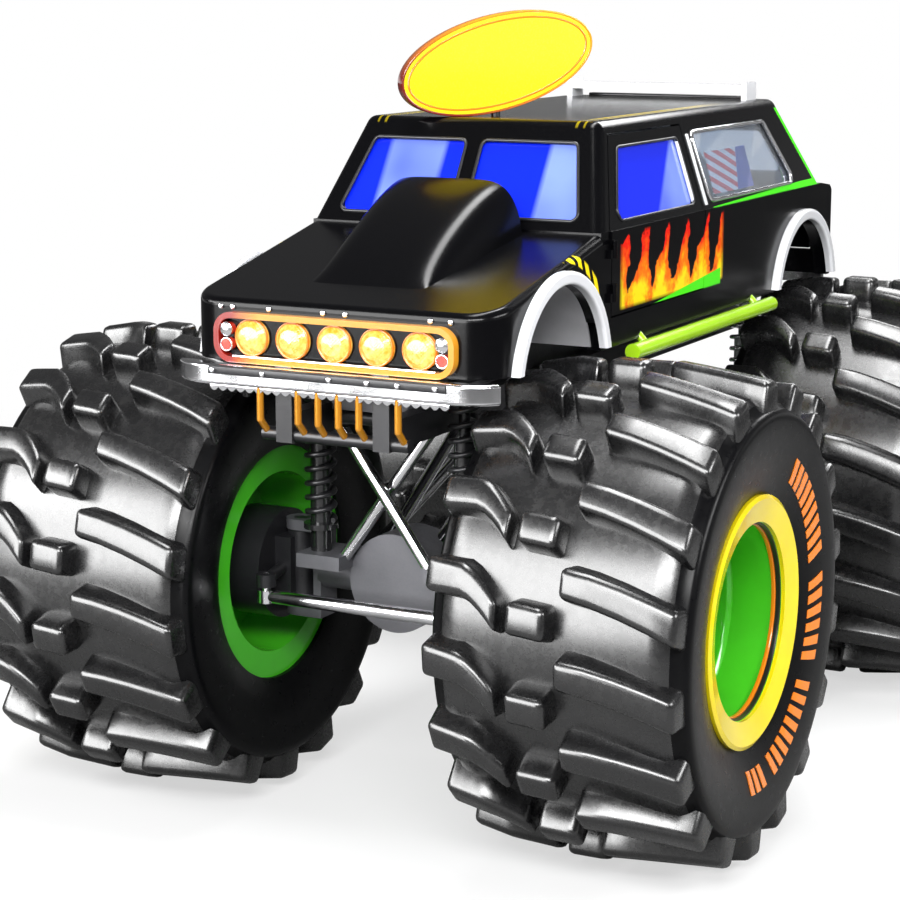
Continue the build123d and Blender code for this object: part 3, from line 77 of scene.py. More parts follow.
class Graph:
    """Node tree of a finish or of the world, with short calls for the nodes that they share."""

    def __init__(self, name: str, shelf: Optional[bpy.types.bpy_prop_collection] = None,
                 shader: str = "Principled BSDF") -> None:
        """Start a material, or what another shelf of Blender's data holds.

        Args:
            name: Its name.
            shelf: Where it is made, or None for the materials.
            shader: Name of the node that shades it.
        """
        self.owner = (bpy.data.materials if shelf is None else shelf).new(name)
        self.owner.use_nodes = True
        self.tree = self.owner.node_tree
        self.shader = self.tree.nodes[shader]
        self.coordinates = self.add("ShaderNodeTexCoord").outputs
        self.place = self.coordinates["Object"]

    def add(self, kind: str, **settings: object) -> bpy.types.Node:
        """Add a node.

        Args:
            kind: The node's type name.
            settings: Properties to set on it.

        Returns:
            The new node.
        """
        node = self.tree.nodes.new(kind)
        for key, value in settings.items():
            setattr(node, key, value)
        return node

    def feed(self, socket: Socket, value: Feed) -> None:
        """Link a socket, or write a constant on it.

        Args:
            socket: The input socket.
            value: An output socket, a number or a colour.
        """
        if isinstance(value, Socket):
            self.tree.links.new(value, socket)
        elif isinstance(value, (int, float)):
            socket.default_value = value
        elif len(value) == 3 and len(socket.default_value) == 4:
            socket.default_value = (*value, 1.0)
        else:
            socket.default_value = value

    def shade(self, **values: Feed) -> None:
        """Feed the shader's sockets, named with underscores for spaces."""
        for key, value in values.items():
            self.feed(self.shader.inputs[key.replace("_", " ")], value)

    def stretched(self, scale: Point) -> Socket:
        """Object coordinates with a factor for each axis.

        Args:
            scale: The factors.

        Returns:
            The scaled coordinates.
        """
        mapping = self.add("ShaderNodeMapping")
        self.feed(mapping.inputs["Vector"], self.place)
        mapping.inputs["Scale"].default_value = scale
        return mapping.outputs["Vector"]

    def noise(self, scale: float, detail: float = 4, rough: float = 0.55,
              place: Optional[Socket] = None) -> Socket:
        """Noise from 0 to 1.

        Args:
            scale: Waves per metre.
            detail: Octaves.
            rough: Weight of the fine octaves.
            place: Coordinates, or None for the object's own.

        Returns:
            The noise value.
        """
        node = self.add("ShaderNodeTexNoise")
        self.feed(node.inputs["Vector"], self.place if place is None else place)
        node.inputs["Scale"].default_value = scale
        node.inputs["Detail"].default_value = detail
        node.inputs["Roughness"].default_value = rough
        return node.outputs["Fac"]

    def math(self, operation: str, first: Feed, second: Feed = 0.0) -> Socket:
        """Arithmetic on two values.

        Args:
            operation: Blender's name of it, such as MULTIPLY.
            first: First value.
            second: Second value.

        Returns:
            The result.
        """
        node = self.add("ShaderNodeMath", operation=operation)
        self.feed(node.inputs[0], first)
        self.feed(node.inputs[1], second)
        return node.outputs["Value"]

    def total(self, *terms: tuple[Feed, float]) -> Socket:
        """Weighted sum of (value, weight) terms.

        Args:
            *terms: The values, each with its weight.

        Returns:
            The sum.
        """
        result: Feed = 0.0
        for value, weight in terms:
            result = self.math("ADD", result, self.math("MULTIPLY", value, weight))
        return result

    def both(self, *masks: Feed) -> Socket:
        """Product of masks.

        Args:
            *masks: The values to multiply.

        Returns:
            The product.
        """
        result: Feed = 1.0
        for mask in masks:
            result = self.math("MULTIPLY", result, mask)
        return result

    def length(self, first: Socket, second: Socket) -> Socket:
        """Length of a flat vector."""
        squares = (self.math("MULTIPLY", value, value) for value in (first, second))
        return self.math("SQRT", self.math("ADD", *squares))

    def span(self, value: Feed, low: float, high: float, to_low: Feed = 0.0, to_high: Feed = 1.0) -> Socket:
        """Map a range of values to another, held at its ends.

        Args:
            value: What is mapped.
            low: Start of its range.
            high: End of its range.
            to_low: Result at the start.
            to_high: Result at the end.

        Returns:
            The mapped value.
        """
        node = self.add("ShaderNodeMapRange")
        for key, feed in zip(("Value", "From Min", "From Max", "To Min", "To Max"),
                             (value, low, high, to_low, to_high)):
            self.feed(node.inputs[key], feed)
        return node.outputs["Result"]

    def within(self, value: Feed, low: float, high: float, soft: float = 0.004) -> Socket:
        """Mask that is 1 between two values and fades over a soft edge."""
        return self.both(self.span(value, low - soft, low + soft), self.span(value, high + soft, high - soft))

    def mix(self, share: Feed, first: Feed, second: Feed) -> Socket:
        """Blend two colours.

        Args:
            share: How much of the second.
            first: Colour at 0.
            second: Colour at 1.

        Returns:
            The blended colour.
        """
        node = self.add("ShaderNodeMix", data_type="RGBA")
        self.feed(node.inputs["Factor"], share)
        self.feed(node.inputs[6], first)
        self.feed(node.inputs[7], second)
        return node.outputs[2]

    def axes(self, place: Optional[Socket] = None) -> tuple[Socket, Socket, Socket]:
        """X, Y and Z of coordinates, the object's own if none are given.

        Args:
            place: The coordinates.

        Returns:
            The three values.
        """
        node = self.add("ShaderNodeSeparateXYZ")
        self.feed(node.inputs["Vector"], self.place if place is None else place)
        return node.outputs["X"], node.outputs["Y"], node.outputs["Z"]

    def bump(self, height: Feed, distance: float, strength: float = 1.0) -> None:
        """Raise the surface by a height, in metres at full value.

        Args:
            height: The pattern to raise.
            distance: The rise at full value.
            strength: Share of the effect that shows.
        """
        node = self.add("ShaderNodeBump")
        node.inputs["Strength"].default_value = strength
        node.inputs["Distance"].default_value = distance
        self.feed(node.inputs["Height"], height)
        self.feed(self.shader.inputs["Normal"], node.outputs["Normal"])


def shifted(colour: Colour, factor: float) -> Colour:
    """Colour made darker or lighter by a factor."""
    return tuple(min(1.0, channel * factor) for channel in colour)


@dataclass(frozen=True)
class Finish:
    """A named finish."""

    name: str

    def paint(self, graph: Graph) -> None:
        """Lay the nodes."""
        raise NotImplementedError(self.name)

    def material(self) -> bpy.types.Material:
        """Build the node material.

        Returns:
            The material.
        """
        graph = Graph(self.name)
        self.paint(graph)
        return graph.owner


@dataclass(frozen=True)
class Enamel(Finish):
    """Glossy coloured paint with a faint orange peel and uneven depth."""

    colour: Colour
    roughness: float = 0.22
    metallic: float = 0.0
    coat: float = 0.6
    wear: float = 0.18
    gloss: float = 0.5

    def base(self, graph: Graph) -> Socket:
        """Paint colour with its slow change of depth."""
        thin, deep = (shifted(self.colour, 1 + change) for change in (-self.wear, self.wear))
        return graph.mix(graph.noise(3.5, 5), thin, deep)

    def paint(self, graph: Graph) -> None:
        """Lay the nodes.

        Args:
            graph: The material's nodes.
        """
        grain = graph.noise(140, 3)
        graph.shade(
            Base_Color=self.base(graph),
            Roughness=graph.span(grain, 0.3, 0.7, self.roughness * 0.8, self.roughness * 1.25),
            Metallic=self.metallic,
            Specular_IOR_Level=self.gloss,
            Coat_Weight=self.coat,
            Coat_Roughness=0.06,
        )
        graph.bump(grain, 0.0004, 0.35)


GREEN = (0.075, 0.78, 0.012)
YELLOW = (0.95, 0.72, 0.01)
ORANGE = (0.95, 0.20, 0.005)
RED = (0.78, 0.014, 0.005)


@dataclass(frozen=True)
class Livery(Enamel):
    """Black paint with flame licks on the doors, green sweeps, and yellow roof stripes and wing dashes.

    Fields that end in _x, _y or _z are places along that axis.
    """

    skin_x: Span = (0.732, 0.735)
    flames_y: Span = (-0.93, 0.36)
    flames_z: Span = (2.315, 2.655)
    licks: float = 5.0
    sweep_y: Span = (-0.55, 0.34)
    sweep_z: Span = (2.29, 2.40)
    sweep_rise: Span = (2.292, 2.372)
    cab_x: Span = (0.555, 0.56)
    belt_z: float = 2.68
    belt_y: Span = (0.25, 1.86)
    belt_swell: Span = (0.25, 1.6)
    belt_high: Span = (0.004, 0.034)
    post_slope: float = 0.8333
    post_reach: Span = (4.052, 4.098)
    post_top: Span = (3.12, 3.11)
    roof_z: Span = (3.128, 3.136)
    stripes_x: tuple[Span, Span] = ((0.495, 0.508), (0.535, 0.545))
    stripes_y: Span = (-0.75, 0.75)
    wheel: Span = (-1.6, 2.06)
    dash_ring: Span = (0.535, 0.575)
    dash_y: Span = (-1.56, -1.16)

    def flames(self, graph: Graph, skin: Socket) -> tuple[Socket, Socket]:
        """Flame licks on the doors.

        Args:
            graph: The node tree.
            skin: Mask of the body's sides.

        Returns:
            Their mask and their colour.
        """
        _, along, up = graph.axes()
        wild = graph.noise(5.5, 3, 0.5)
        fine = graph.noise(17, 3, 0.6)
        share = graph.span(along, *self.flames_y)
        rise = graph.span(up, *self.flames_z)
        lick = graph.math("SINE", graph.total((share, math.tau * self.licks), (rise, -1.9), (wild, 5.0)))
        reach = graph.total((lick, 0.42), (fine, 0.35), (rise, -1.0), (1.0, 0.42))
        mask = graph.both(graph.span(reach, 0.0, 0.035), graph.within(along, *self.flames_y, 0.02),
                          graph.within(up, *self.flames_z, 0.01), skin)
        heat = graph.total((rise, -0.75), (fine, 0.7), (wild, 0.5), (lick, 0.16), (1.0, 0.12))
        colour = graph.mix(graph.span(heat, 0.20, 0.48), RED, ORANGE)
        return mask, graph.mix(graph.span(heat, 0.48, 0.72), colour, YELLOW)

    def greens(self, graph: Graph, out: Socket, skin: Socket) -> Socket:
        """Sweep under the flames, belt line and rear post.

        Args:
            graph: The node tree.
            out: Distance from the truck's middle.
            skin: Mask of the body's sides.

        Returns:
            Their mask.
        """
        _, along, up = graph.axes()
        under = graph.math("SUBTRACT", graph.span(along, *self.sweep_y, *self.sweep_rise), up)
        sweep = graph.both(graph.span(under, 0.0, 0.004), skin, graph.within(along, *self.sweep_y),
                           graph.within(up, *self.sweep_z))
        above = graph.span(up, self.belt_z - 0.002, self.belt_z + 0.002)
        cab = graph.both(graph.span(out, *self.cab_x), above)
        reach = graph.total((along, 1.0), (up, self.post_slope))
        post = graph.both(cab, graph.within(reach, *self.post_reach), graph.span(up, *self.post_top))
        under = graph.math("SUBTRACT", graph.span(along, *self.belt_swell, *self.belt_high),
                           graph.math("SUBTRACT", up, self.belt_z))
        belt = graph.both(cab, graph.span(under, 0.0, 0.003), graph.within(along, *self.belt_y))
        return graph.math("MAXIMUM", sweep, graph.math("MAXIMUM", post, belt))

    def yellows(self, graph: Graph, out: Socket, skin: Socket) -> Socket:
        """Roof stripes and dashes over the front wheels.

        Args:
            graph: The node tree.
            out: Distance from the truck's middle.
            skin: Mask of the body's sides.

        Returns:
            Their mask.
        """
        _, along, up = graph.axes()
        pair = (graph.within(out, *edges, 0.002) for edges in self.stripes_x)
        stripes = graph.both(graph.span(up, *self.roof_z), graph.math("MAXIMUM", *pair),
                             graph.within(along, *self.stripes_y, 0.2))
        away = graph.length(*(graph.math("SUBTRACT", value, middle)
                              for value, middle in zip((along, up), self.wheel)))
        arch = graph.both(skin, graph.within(away, *self.dash_ring), graph.within(along, *self.dash_y))
        wave = graph.math("SINE", graph.total((along, 95.0), (up, 40.0)))
        dashes = graph.both(arch, graph.span(wave, -0.25, -0.05))
        return graph.math("MAXIMUM", stripes, dashes)

    def base(self, graph: Graph) -> Socket:
        """Black with the graphics laid over it.

        Args:
            graph: The material's nodes.

        Returns:
            The colour.
        """
        across, _, _ = graph.axes()
        out = graph.math("ABSOLUTE", across)
        skin = graph.span(out, *self.skin_x)
        mask, flame = self.flames(graph, skin)
        colour = graph.mix(mask, super().base(graph), flame)
        colour = graph.mix(self.greens(graph, out, skin), colour, GREEN)
        return graph.mix(self.yellows(graph, out, skin), colour, YELLOW)


@dataclass(frozen=True)
class Bright(Finish):
    """Polished metal with faint brushing and smears."""

    colour: Colour
    roughness: float = 0.16

    def paint(self, graph: Graph) -> None:
        """Lay the nodes.

        Args:
            graph: The material's nodes.
        """
        smear = graph.noise(7, 6)
        brushed = graph.noise(90, 3, place=graph.stretched((1, 1, 12)))
        graph.shade(
            Base_Color=graph.mix(smear, shifted(self.colour, 0.82), self.colour),
            Metallic=1.0,
            Roughness=graph.span(smear, 0.3, 0.7, self.roughness * 0.7, self.roughness * 1.5),
        )
        graph.bump(brushed, 0.0003, 0.3)


@dataclass(frozen=True)
class Rubber(Finish):
    """Dark tyre rubber: semi-gloss, with scuffs and fine grain."""

    colour: Colour = (0.006, 0.006, 0.0065)
    scuff: Colour = (0.019, 0.0185, 0.018)
    gloss: float = 0.85
    roughness: float = 0.27

    def paint(self, graph: Graph) -> None:
        """Lay the nodes.

        Args:
            graph: The material's nodes.
        """
        cloud = graph.noise(4.0, 6, 0.6)
        scratch = graph.noise(26, 5, 0.7)
        grain = graph.noise(210, 2)
        share = graph.both(graph.span(cloud, 0.45, 0.75), graph.span(scratch, 0.4, 0.7))
        graph.shade(
            Base_Color=graph.mix(share, self.colour, self.scuff),
            Roughness=graph.span(scratch, 0.3, 0.75, self.roughness * 0.85, self.roughness * 1.2),
            Specular_IOR_Level=self.gloss,
        )
        graph.bump(graph.total((cloud, 0.6), (grain, 0.25)), 0.0012, 0.25)


@dataclass(frozen=True)
class Casting(Finish):
    """Cast or satin-painted metal with a pebbled skin."""

    colour: Colour
    roughness: float = 0.5
    metallic: float = 0.4

    def paint(self, graph: Graph) -> None:
        """Lay the nodes.

        Args:
            graph: The material's nodes.
        """
        cloud = graph.noise(6, 5)
        pebble = graph.noise(75, 4, 0.65)
        graph.shade(
            Base_Color=graph.mix(cloud, shifted(self.colour, 0.75), shifted(self.colour, 1.3)),
            Roughness=graph.span(pebble, 0.3, 0.7, self.roughness * 0.8, self.roughness * 1.2),
            Metallic=self.metallic,
        )
        graph.bump(pebble, 0.0012, 0.4)


@dataclass(frozen=True)
class TintedGlass(Finish):
    """Coloured glazing, partly see-through, with pale slanted bands that are painted reflections."""

    colour: Colour
    # Colour of the painted reflection bands.
    pale: Colour
    see_through: float

    def paint(self, graph: Graph) -> None:
        """Lay the nodes.

        Args:
            graph: The material's nodes.
        """
        # Pale slanted bands mixed into the base colour: painted reflections on the glass.
        across, along, up = graph.axes()
        slant = graph.total((across, 1.0), (along, 0.7), (up, -0.45))
        wave = graph.math("SINE", graph.math("MULTIPLY", slant, 7.5))
        band = graph.both(graph.span(wave, 0.35, 0.55), graph.span(graph.noise(1.8, 2), 0.3, 0.6, 0.35, 1.0))
        graph.shade(
            Base_Color=graph.mix(band, self.colour, self.pale),
            Roughness=graph.span(graph.noise(5, 3), 0.3, 0.7, 0.02, 0.06),
            IOR=1.45,
            Transmission_Weight=self.see_through,
            Coat_Weight=0.4,
        )


@dataclass(frozen=True)
class Lens(Finish):
    """Moulded lamp lens with fine flutes and hot specks."""

    colour: Colour
    hot: Colour
    glow: float = 0.25

    def paint(self, graph: Graph) -> None:
        """Lay the nodes.

        Args:
            graph: The material's nodes.
        """
        across, _, up = graph.axes()
        flutes = graph.both(graph.math("SINE", graph.math("MULTIPLY", across, 420)),
                            graph.math("SINE", graph.math("MULTIPLY", up, 420)))
        colour = graph.mix(graph.span(graph.noise(38, 4, 0.6), 0.35, 0.7), self.colour, self.hot)
        graph.shade(
            Base_Color=colour,
            Roughness=0.12,
            Coat_Weight=0.8,
            Transmission_Weight=0.15,
            Emission_Color=colour,
            Emission_Strength=self.glow,
        )
        graph.bump(flutes, 0.0015, 0.5)


@dataclass(frozen=True)
class Cloth(Finish):
    """Woven seat cloth."""

    colour: Colour

    def paint(self, graph: Graph) -> None:
        """Lay the nodes.

        Args:
            graph: The material's nodes.
        """
        across, along, up = graph.axes()
        weave = graph.both(
            graph.math("SINE", graph.math("MULTIPLY", graph.math("ADD", across, up), 900)),
            graph.math("SINE", graph.math("MULTIPLY", graph.math("SUBTRACT", along, up), 900)),
        )
        graph.shade(
            Base_Color=graph.mix(graph.noise(9, 4), shifted(self.colour, 0.7), shifted(self.colour, 1.3)),
            Roughness=graph.span(weave, -1, 1, 0.75, 0.95),
            Sheen_Weight=0.3,
        )
        graph.bump(weave, 0.0008, 0.5)


@dataclass(frozen=True)
class TwoTone(Enamel):
    """Paint that changes from one colour to another along a direction."""

    far: Colour = (0.0, 0.0, 0.0)
    way: tuple[float, float, float] = (1.0, 0.0, 0.0)
    reach: Span = (0.0, 1.0)

    def base(self, graph: Graph) -> Socket:
        """Colours blended along the direction."""
        reach = graph.total(*zip(graph.axes(), self.way))
        return graph.mix(graph.span(reach, *self.reach), super().base(graph), self.far)


@dataclass(frozen=True)
class Striped(Finish):
    """Printed panel with slanted stripes and one plain end."""

    span_y: Span
    span_z: Span
    stripes: float = 17.0
    slant: float = 0.35
    end_slant: float = -0.5
    end_wide: float = 0.15
    white: Colour = (0.85, 0.85, 0.87)
    red: Colour = (0.72, 0.02, 0.03)
    blue: Colour = (0.03, 0.06, 0.42)

    def paint(self, graph: Graph) -> None:
        """Lay the nodes.

        Args:
            graph: The material's nodes.
        """
        _, along, up = graph.axes()
        wave = graph.math("MULTIPLY", graph.total((up, 1.0), (along, self.slant)), math.tau * self.stripes)
        stripe = graph.span(graph.math("SINE", wave), -0.12, 0.12)
        end = self.span_y[1] + self.end_slant * self.span_z[1] - self.end_wide
        plain = graph.span(graph.total((along, 1.0), (up, self.end_slant)), end - 0.005, end)
        graph.shade(
            Base_Color=graph.mix(plain, graph.mix(stripe, self.white, self.red), self.blue),
            Roughness=graph.span(graph.noise(60, 3), 0.3, 0.7, 0.5, 0.7),
        )
        graph.bump(graph.noise(300, 2), 0.0006, 0.4)


PANEL = Striped("striped_panel", (0.42, 1.0), (2.73, 2.94))
FINISHES = {finish.name: finish for finish in (
    Rubber("tyre_rubber"),
    Rubber("sidewall_black", (0.002, 0.002, 0.0025), (0.006, 0.006, 0.006), 0.14, 0.3),
    Enamel("rim_green", (0.07, 0.56, 0.02), 0.2),
    Enamel("ring_yellow", (0.95, 0.70, 0.005), 0.2),
    Livery("body_black", (0.0015, 0.0015, 0.002), 0.2, coat=0.0, gloss=0.18),
    Bright("bright", (0.80, 0.80, 0.82)),
    # white_trim also colours the cab's white strips, which are painted highlights.
    Enamel("white_trim", (0.80, 0.81, 0.84), 0.2, wear=0.06),
    TintedGlass("blue_glass", (0.004, 0.022, 0.85), (0.22, 0.32, 0.95), 0.15),
    TintedGlass("clear_glass", (0.62, 0.70, 0.82), (0.9, 0.93, 0.97), 0.92),
    Lens("amber_lens", (0.95, 0.36, 0.01), (1.0, 0.78, 0.2)),
    Lens("red_lens", (0.55, 0.015, 0.01), (0.85, 0.08, 0.03), 0.1),
    Enamel("gold_trim", (0.72, 0.30, 0.02), 0.2, metallic=0.5),
    Casting("frame_black", (0.015, 0.015, 0.017), 0.34, 0.2),
    Casting("cast_grey", (0.10, 0.10, 0.11)),
    Enamel("lime_tube", (0.36, 0.66, 0.01), 0.2),
    Enamel("sign_yellow", (0.88, 0.64, 0.004), 0.25, wear=0.08),
    Cloth("seat_cloth", (0.05, 0.05, 0.055)),
    Casting("dash_plastic", (0.03, 0.03, 0.033), 0.6, 0.0),
    Casting("liner_grey", (0.46, 0.46, 0.48), 0.4, 0.2),
    Enamel("orange", (0.90, 0.22, 0.008), 0.22),
    TwoTone("surround", (0.30, 0.012, 0.006), 0.2, far=(0.72, 0.30, 0.02), reach=(-0.50, -0.36)),
    TwoTone("sign_edge", (0.20, 0.012, 0.004), 0.22, far=(0.92, 0.30, 0.01), way=(0.5, 0.5, 1.2),
            reach=(3.35, 3.95)),
    TwoTone("damper_tones", (0.012, 0.012, 0.013), 0.22, coat=0.3, far=(0.55, 0.56, 0.58),
            way=(0.0, 1.0, 0.0), reach=(-0.1, 0.1)),
    PANEL,
)}
NODE_FINISHES = {"lamp_surround": "surround", "dampers": "damper_tones"}


class Finishes:
    """Materials by finish, each built once."""

    def __init__(self) -> None:
        """Start with no material built."""
        self.built: dict[str, bpy.types.Material] = {}

    def of(self, name: str) -> bpy.types.Material:
        """Material of a finish, built on first use.

        Args:
            name: Name of the finish.

        Returns:
            The material.
        """
        if name not in self.built:
            self.built[name] = FINISHES[name].material()
        return self.built[name]

    def dress_nodes(self) -> None:
        """Put each CAD node's finish on it."""
        for part in frame["record"]["subparts"]:
            node = frame["nodes"][part["node"]]
            node.data.materials.clear()
            node.data.materials.append(self.of(NODE_FINISHES.get(part["node"], part["material_slot"])))


def deselect() -> None:
    """Leave object mode with nothing selected."""
    if bpy.context.object and bpy.context.object.mode != "OBJECT":
        bpy.ops.object.mode_set(mode="OBJECT")
    bpy.ops.object.select_all(action="DESELECT")


def take(piece: Piece) -> Piece:
    """Select one piece alone and make it active.

    Args:
        piece: The piece.

    Returns:
        The same piece.
    """
    deselect()
    piece.select_set(True)
    bpy.context.view_layer.objects.active = piece
    return piece


def edit(piece: Piece) -> None:
    """Enter edit mode on one piece with all of it selected.

    Args:
        piece: The piece.
    """
    take(piece)
    bpy.ops.object.mode_set(mode="EDIT")
    bpy.ops.mesh.select_all(action="SELECT")


def closed(piece: Piece) -> Piece:
    """Merge doubles, turn the faces outward and leave edit mode.

    Args:
        piece: The piece.

    Returns:
        The same piece.
    """
    edit(piece)
    bpy.ops.mesh.remove_doubles(threshold=1e-5)
    bpy.ops.mesh.normals_make_consistent(inside=False)
    bpy.ops.object.mode_set(mode="OBJECT")
    return piece


def applied(piece: Piece, kind: str, **settings: object) -> Piece:
    """Add a modifier to a piece and apply it.

    Args:
        piece: The mesh object.
        kind: The modifier's type name.
        settings: Properties to set on it.

    Returns:
        The same piece.
    """
    modifier = piece.modifiers.new(kind.lower(), kind)
    for key, value in settings.items():
        setattr(modifier, key, value)
    take(piece)
    bpy.ops.object.modifier_apply(modifier=modifier.name)
    return piece


def bevelled(piece: Piece, width: float, segments: int = 2, angle: float = 35) -> Piece:
    """Round the edges of a piece that are sharper than an angle in degrees."""
    return applied(piece, "BEVEL", width=width, segments=segments, limit_method="ANGLE",
                   angle_limit=math.radians(angle))


def loop_of(points: Sequence[Point]) -> Piece:
    """Closed edge loop through points.

    Args:
        points: The corners in order.

    Returns:
        The loop.
    """
    deselect()
    bpy.ops.mesh.primitive_circle_add(vertices=len(points), fill_type="NOTHING")
    piece = bpy.context.object
    for vertex, point in zip(piece.data.vertices, points):
        vertex.co = point
    return piece


def turned(profile: Sequence[tuple[float, float]], steps: int) -> Piece:
    """Turn a closed (x, radius) outline about the X axis.

    Args:
        profile: Corners of the outline.
        steps: Segments round the turn.

    Returns:
        The turned mesh object, at the origin.
    """
    piece = loop_of([(out, 0, radius) for out, radius in profile])
    edit(piece)
    bpy.ops.mesh.spin(steps=steps, angle=math.tau, center=(0, 0, 0), axis=(1, 0, 0))
    return closed(piece)


def tube(points: Sequence[Point], radius: float, sides: int = 3) -> Piece:
    """Round tube along a closed loop of points.

    Args:
        points: The loop.
        radius: Of the tube.
        sides: Smoothness of its section.

    Returns:
        The tube's mesh object.
    """
    take(loop_of(points))
    bpy.ops.object.convert(target="CURVE")
    bpy.context.object.data.bevel_depth = radius
    bpy.context.object.data.bevel_resolution = sides
    bpy.ops.object.convert(target="MESH")
    return closed(bpy.context.object)


def block(size: Point, place: Matrix, round_by: float) -> Piece:
    """Box with rounded edges.

    Args:
        size: Its three lengths.
        place: Where its middle goes and how it is turned.
        round_by: Rounding of its edges.

    Returns:
        The mesh object.
    """
    deselect()
    bpy.ops.mesh.primitive_cube_add(size=1)
    piece = bpy.context.object
    piece.data.transform(Matrix.Diagonal((*size, 1)))
    bevelled(piece, round_by, 3)
    piece.data.transform(place)
    return piece


def slab(points: Sequence[Point], thick: Point, round_by: float) -> Piece:
    """Flat outline given thickness and rounded edges.

    Args:
        points: Corners of the outline.
        thick: Vector of the extrusion.
        round_by: Rounding of its edges.

    Returns:
        The mesh object.
    """
    piece = loop_of(points)
    edit(piece)
    bpy.ops.mesh.edge_face_add()
    bpy.ops.mesh.extrude_region_move(TRANSFORM_OT_translate={"value": thick})
    return bevelled(closed(piece), round_by)


def plate(across: int, along: int, place_of: Callable[[float, float], Point], thick: float) -> Piece:
    """Bent plate shaped from a flat grid.

    Args:
        across: Cells one way.
        along: Cells the other way.
        place_of: Place of a grid point, from its two shares of 0 to 1.
        thick: Thickness, added on the inner side.

    Returns:
        The mesh object.
    """
    deselect()
    bpy.ops.mesh.primitive_grid_add(x_subdivisions=across, y_subdivisions=along, size=1)
    piece = bpy.context.object
    for vertex in piece.data.vertices:
        vertex.co = place_of(vertex.co.x + 0.5, vertex.co.y + 0.5)
    return closed(applied(piece, "SOLIDIFY", thickness=thick, offset=-1.0))


def bolt(radius: float, height: float) -> Piece:
    """Domed bolt head with a socket, seated at the origin and pointing along Z.

    Args:
        radius: Of the head.
        height: Of its rim.

    Returns:
        The mesh object.
    """
    deselect()
    bpy.ops.mesh.primitive_cylinder_add(vertices=18, radius=radius, depth=height, location=(0, 0, height / 2))
    piece = bpy.context.object
    bpy.ops.object.transform_apply(location=True)
    edit(piece)
    bpy.ops.mesh.select_all(action="DESELECT")
    bpy.ops.object.mode_set(mode="OBJECT")
    for face in piece.data.polygons:
        face.select = face.normal.z > 0.9
    bpy.ops.object.mode_set(mode="EDIT")
    bpy.ops.mesh.inset(thickness=radius * 0.35)
    bpy.ops.transform.translate(value=(0, 0, height * 0.45))
    bpy.ops.mesh.inset(thickness=radius * 0.25)
    bpy.ops.mesh.inset(thickness=radius * 0.05)
    bpy.ops.transform.translate(value=(0, 0, -height * 0.35))
    bpy.ops.object.mode_set(mode="OBJECT")
    return piece


def joined(pieces: Sequence[Piece]) -> Piece:
    """Join pieces into the first of them.

    Args:
        pieces: The pieces, of which only the first stays.

    Returns:
        The first piece.
    """
    deselect()
    for piece in pieces:
        piece.select_set(True)
    bpy.context.view_layer.objects.active = pieces[0]
    if len(pieces) > 1:
        bpy.ops.object.join()
    return pieces[0]


def copied(piece: Piece, place: Matrix) -> Piece:
    """Copy a piece with its own mesh, moved by a matrix that is applied to it.

    Args:
        piece: The pattern.
        place: The move.

    Returns:
        The copy.
    """
    twin = piece.copy()
    twin.data = piece.data.copy()
    bpy.context.scene.collection.objects.link(twin)
    twin.data.transform(place)
    if place.determinant() < 0:
        twin.data.flip_normals()
    return twin


def repeated(piece: Piece, places: Iterable[Matrix]) -> Piece:
    """Join copies of a piece at several places and drop the pattern.

    Args:
        piece: The pattern.
        places: The move of each copy.

    Returns:
        The copies as one piece.
    """
    twins = [copied(piece, place) for place in places]
    bpy.data.objects.remove(piece)
    return joined(twins)


def rounded(corners: Sequence[tuple[float, float]], radius: float, steps: int = 5) -> list[Vector]:
    """Flat outline with arcs in place of its corners.

    Args:
        corners: The outline.
        radius: Of the arcs.
        steps: Segments in each arc.

    Returns:
        The new outline.
    """
    outline = []
    for index, corner in enumerate(corners):
        here = Vector(corner)
        back = (Vector(corners[index - 1]) - here).normalized()
        ahead = (Vector(corners[(index + 1) % len(corners)]) - here).normalized()
        half = back.angle(ahead) / 2
        centre = here + (back + ahead).normalized() * (radius / math.sin(half))
        start = here + back * (radius / math.tan(half)) - centre
        end = here + ahead * (radius / math.tan(half)) - centre
        for step in range(steps + 1):
            share = step / steps
            outline.append(centre + start.lerp(end, share).normalized() * radius)
    return outline


def ring(radius: float, steps: int) -> list[Vector]:
    """Places round an upright circle that faces along Y."""
    turns = (math.tau * step / steps for step in range(steps))
    return [Vector((radius * math.cos(turn), 0, radius * math.sin(turn))) for turn in turns]


def pair(across: float, along: float, up: float) -> list[Matrix]:
    """The same place on each side of the truck."""
    return [Matrix.Translation((side.value * across, along, up)) for side in Side]


def facing(place: Point, outward: Point) -> Matrix:
    """Place with +Z turned to a direction."""
    return Matrix.Translation(place) @ Vector(outward).to_track_quat("Z", "Y").to_matrix().to_4x4()


@dataclass
class Shop:
    """Names and finishes pieces and hangs them on their bodies."""

    finishes: Finishes

    def settle(self, piece: Piece, name: str, body: str, slot: str, finish: str = "",
               stands_for: Iterable[str] = (), smooth: float = 40) -> None:
        """Name, finish and hang a piece on its body.

        Args:
            piece: The mesh object.
            name: Its name.
            body: The body that it moves with.
            slot: The record's material slot.
            finish: A finish other than the slot's own.
            stands_for: CAD nodes that it replaces.
            smooth: Angle in degrees under which edges are shaded smooth.
        """
        take(piece)
        bpy.ops.object.transform_apply(location=True, rotation=True, scale=True)
        bpy.ops.object.shade_smooth_by_angle(angle=math.radians(smooth))
        piece.name = name
        piece.data.name = name
        piece.data.materials.clear()
        piece.data.materials.append(self.finishes.of(finish or slot))
        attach(piece, body)
        if stands_for:
            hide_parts(*stands_for)
        LOG.info("%s rides on %s with %d faces", name, body, len(piece.data.polygons))


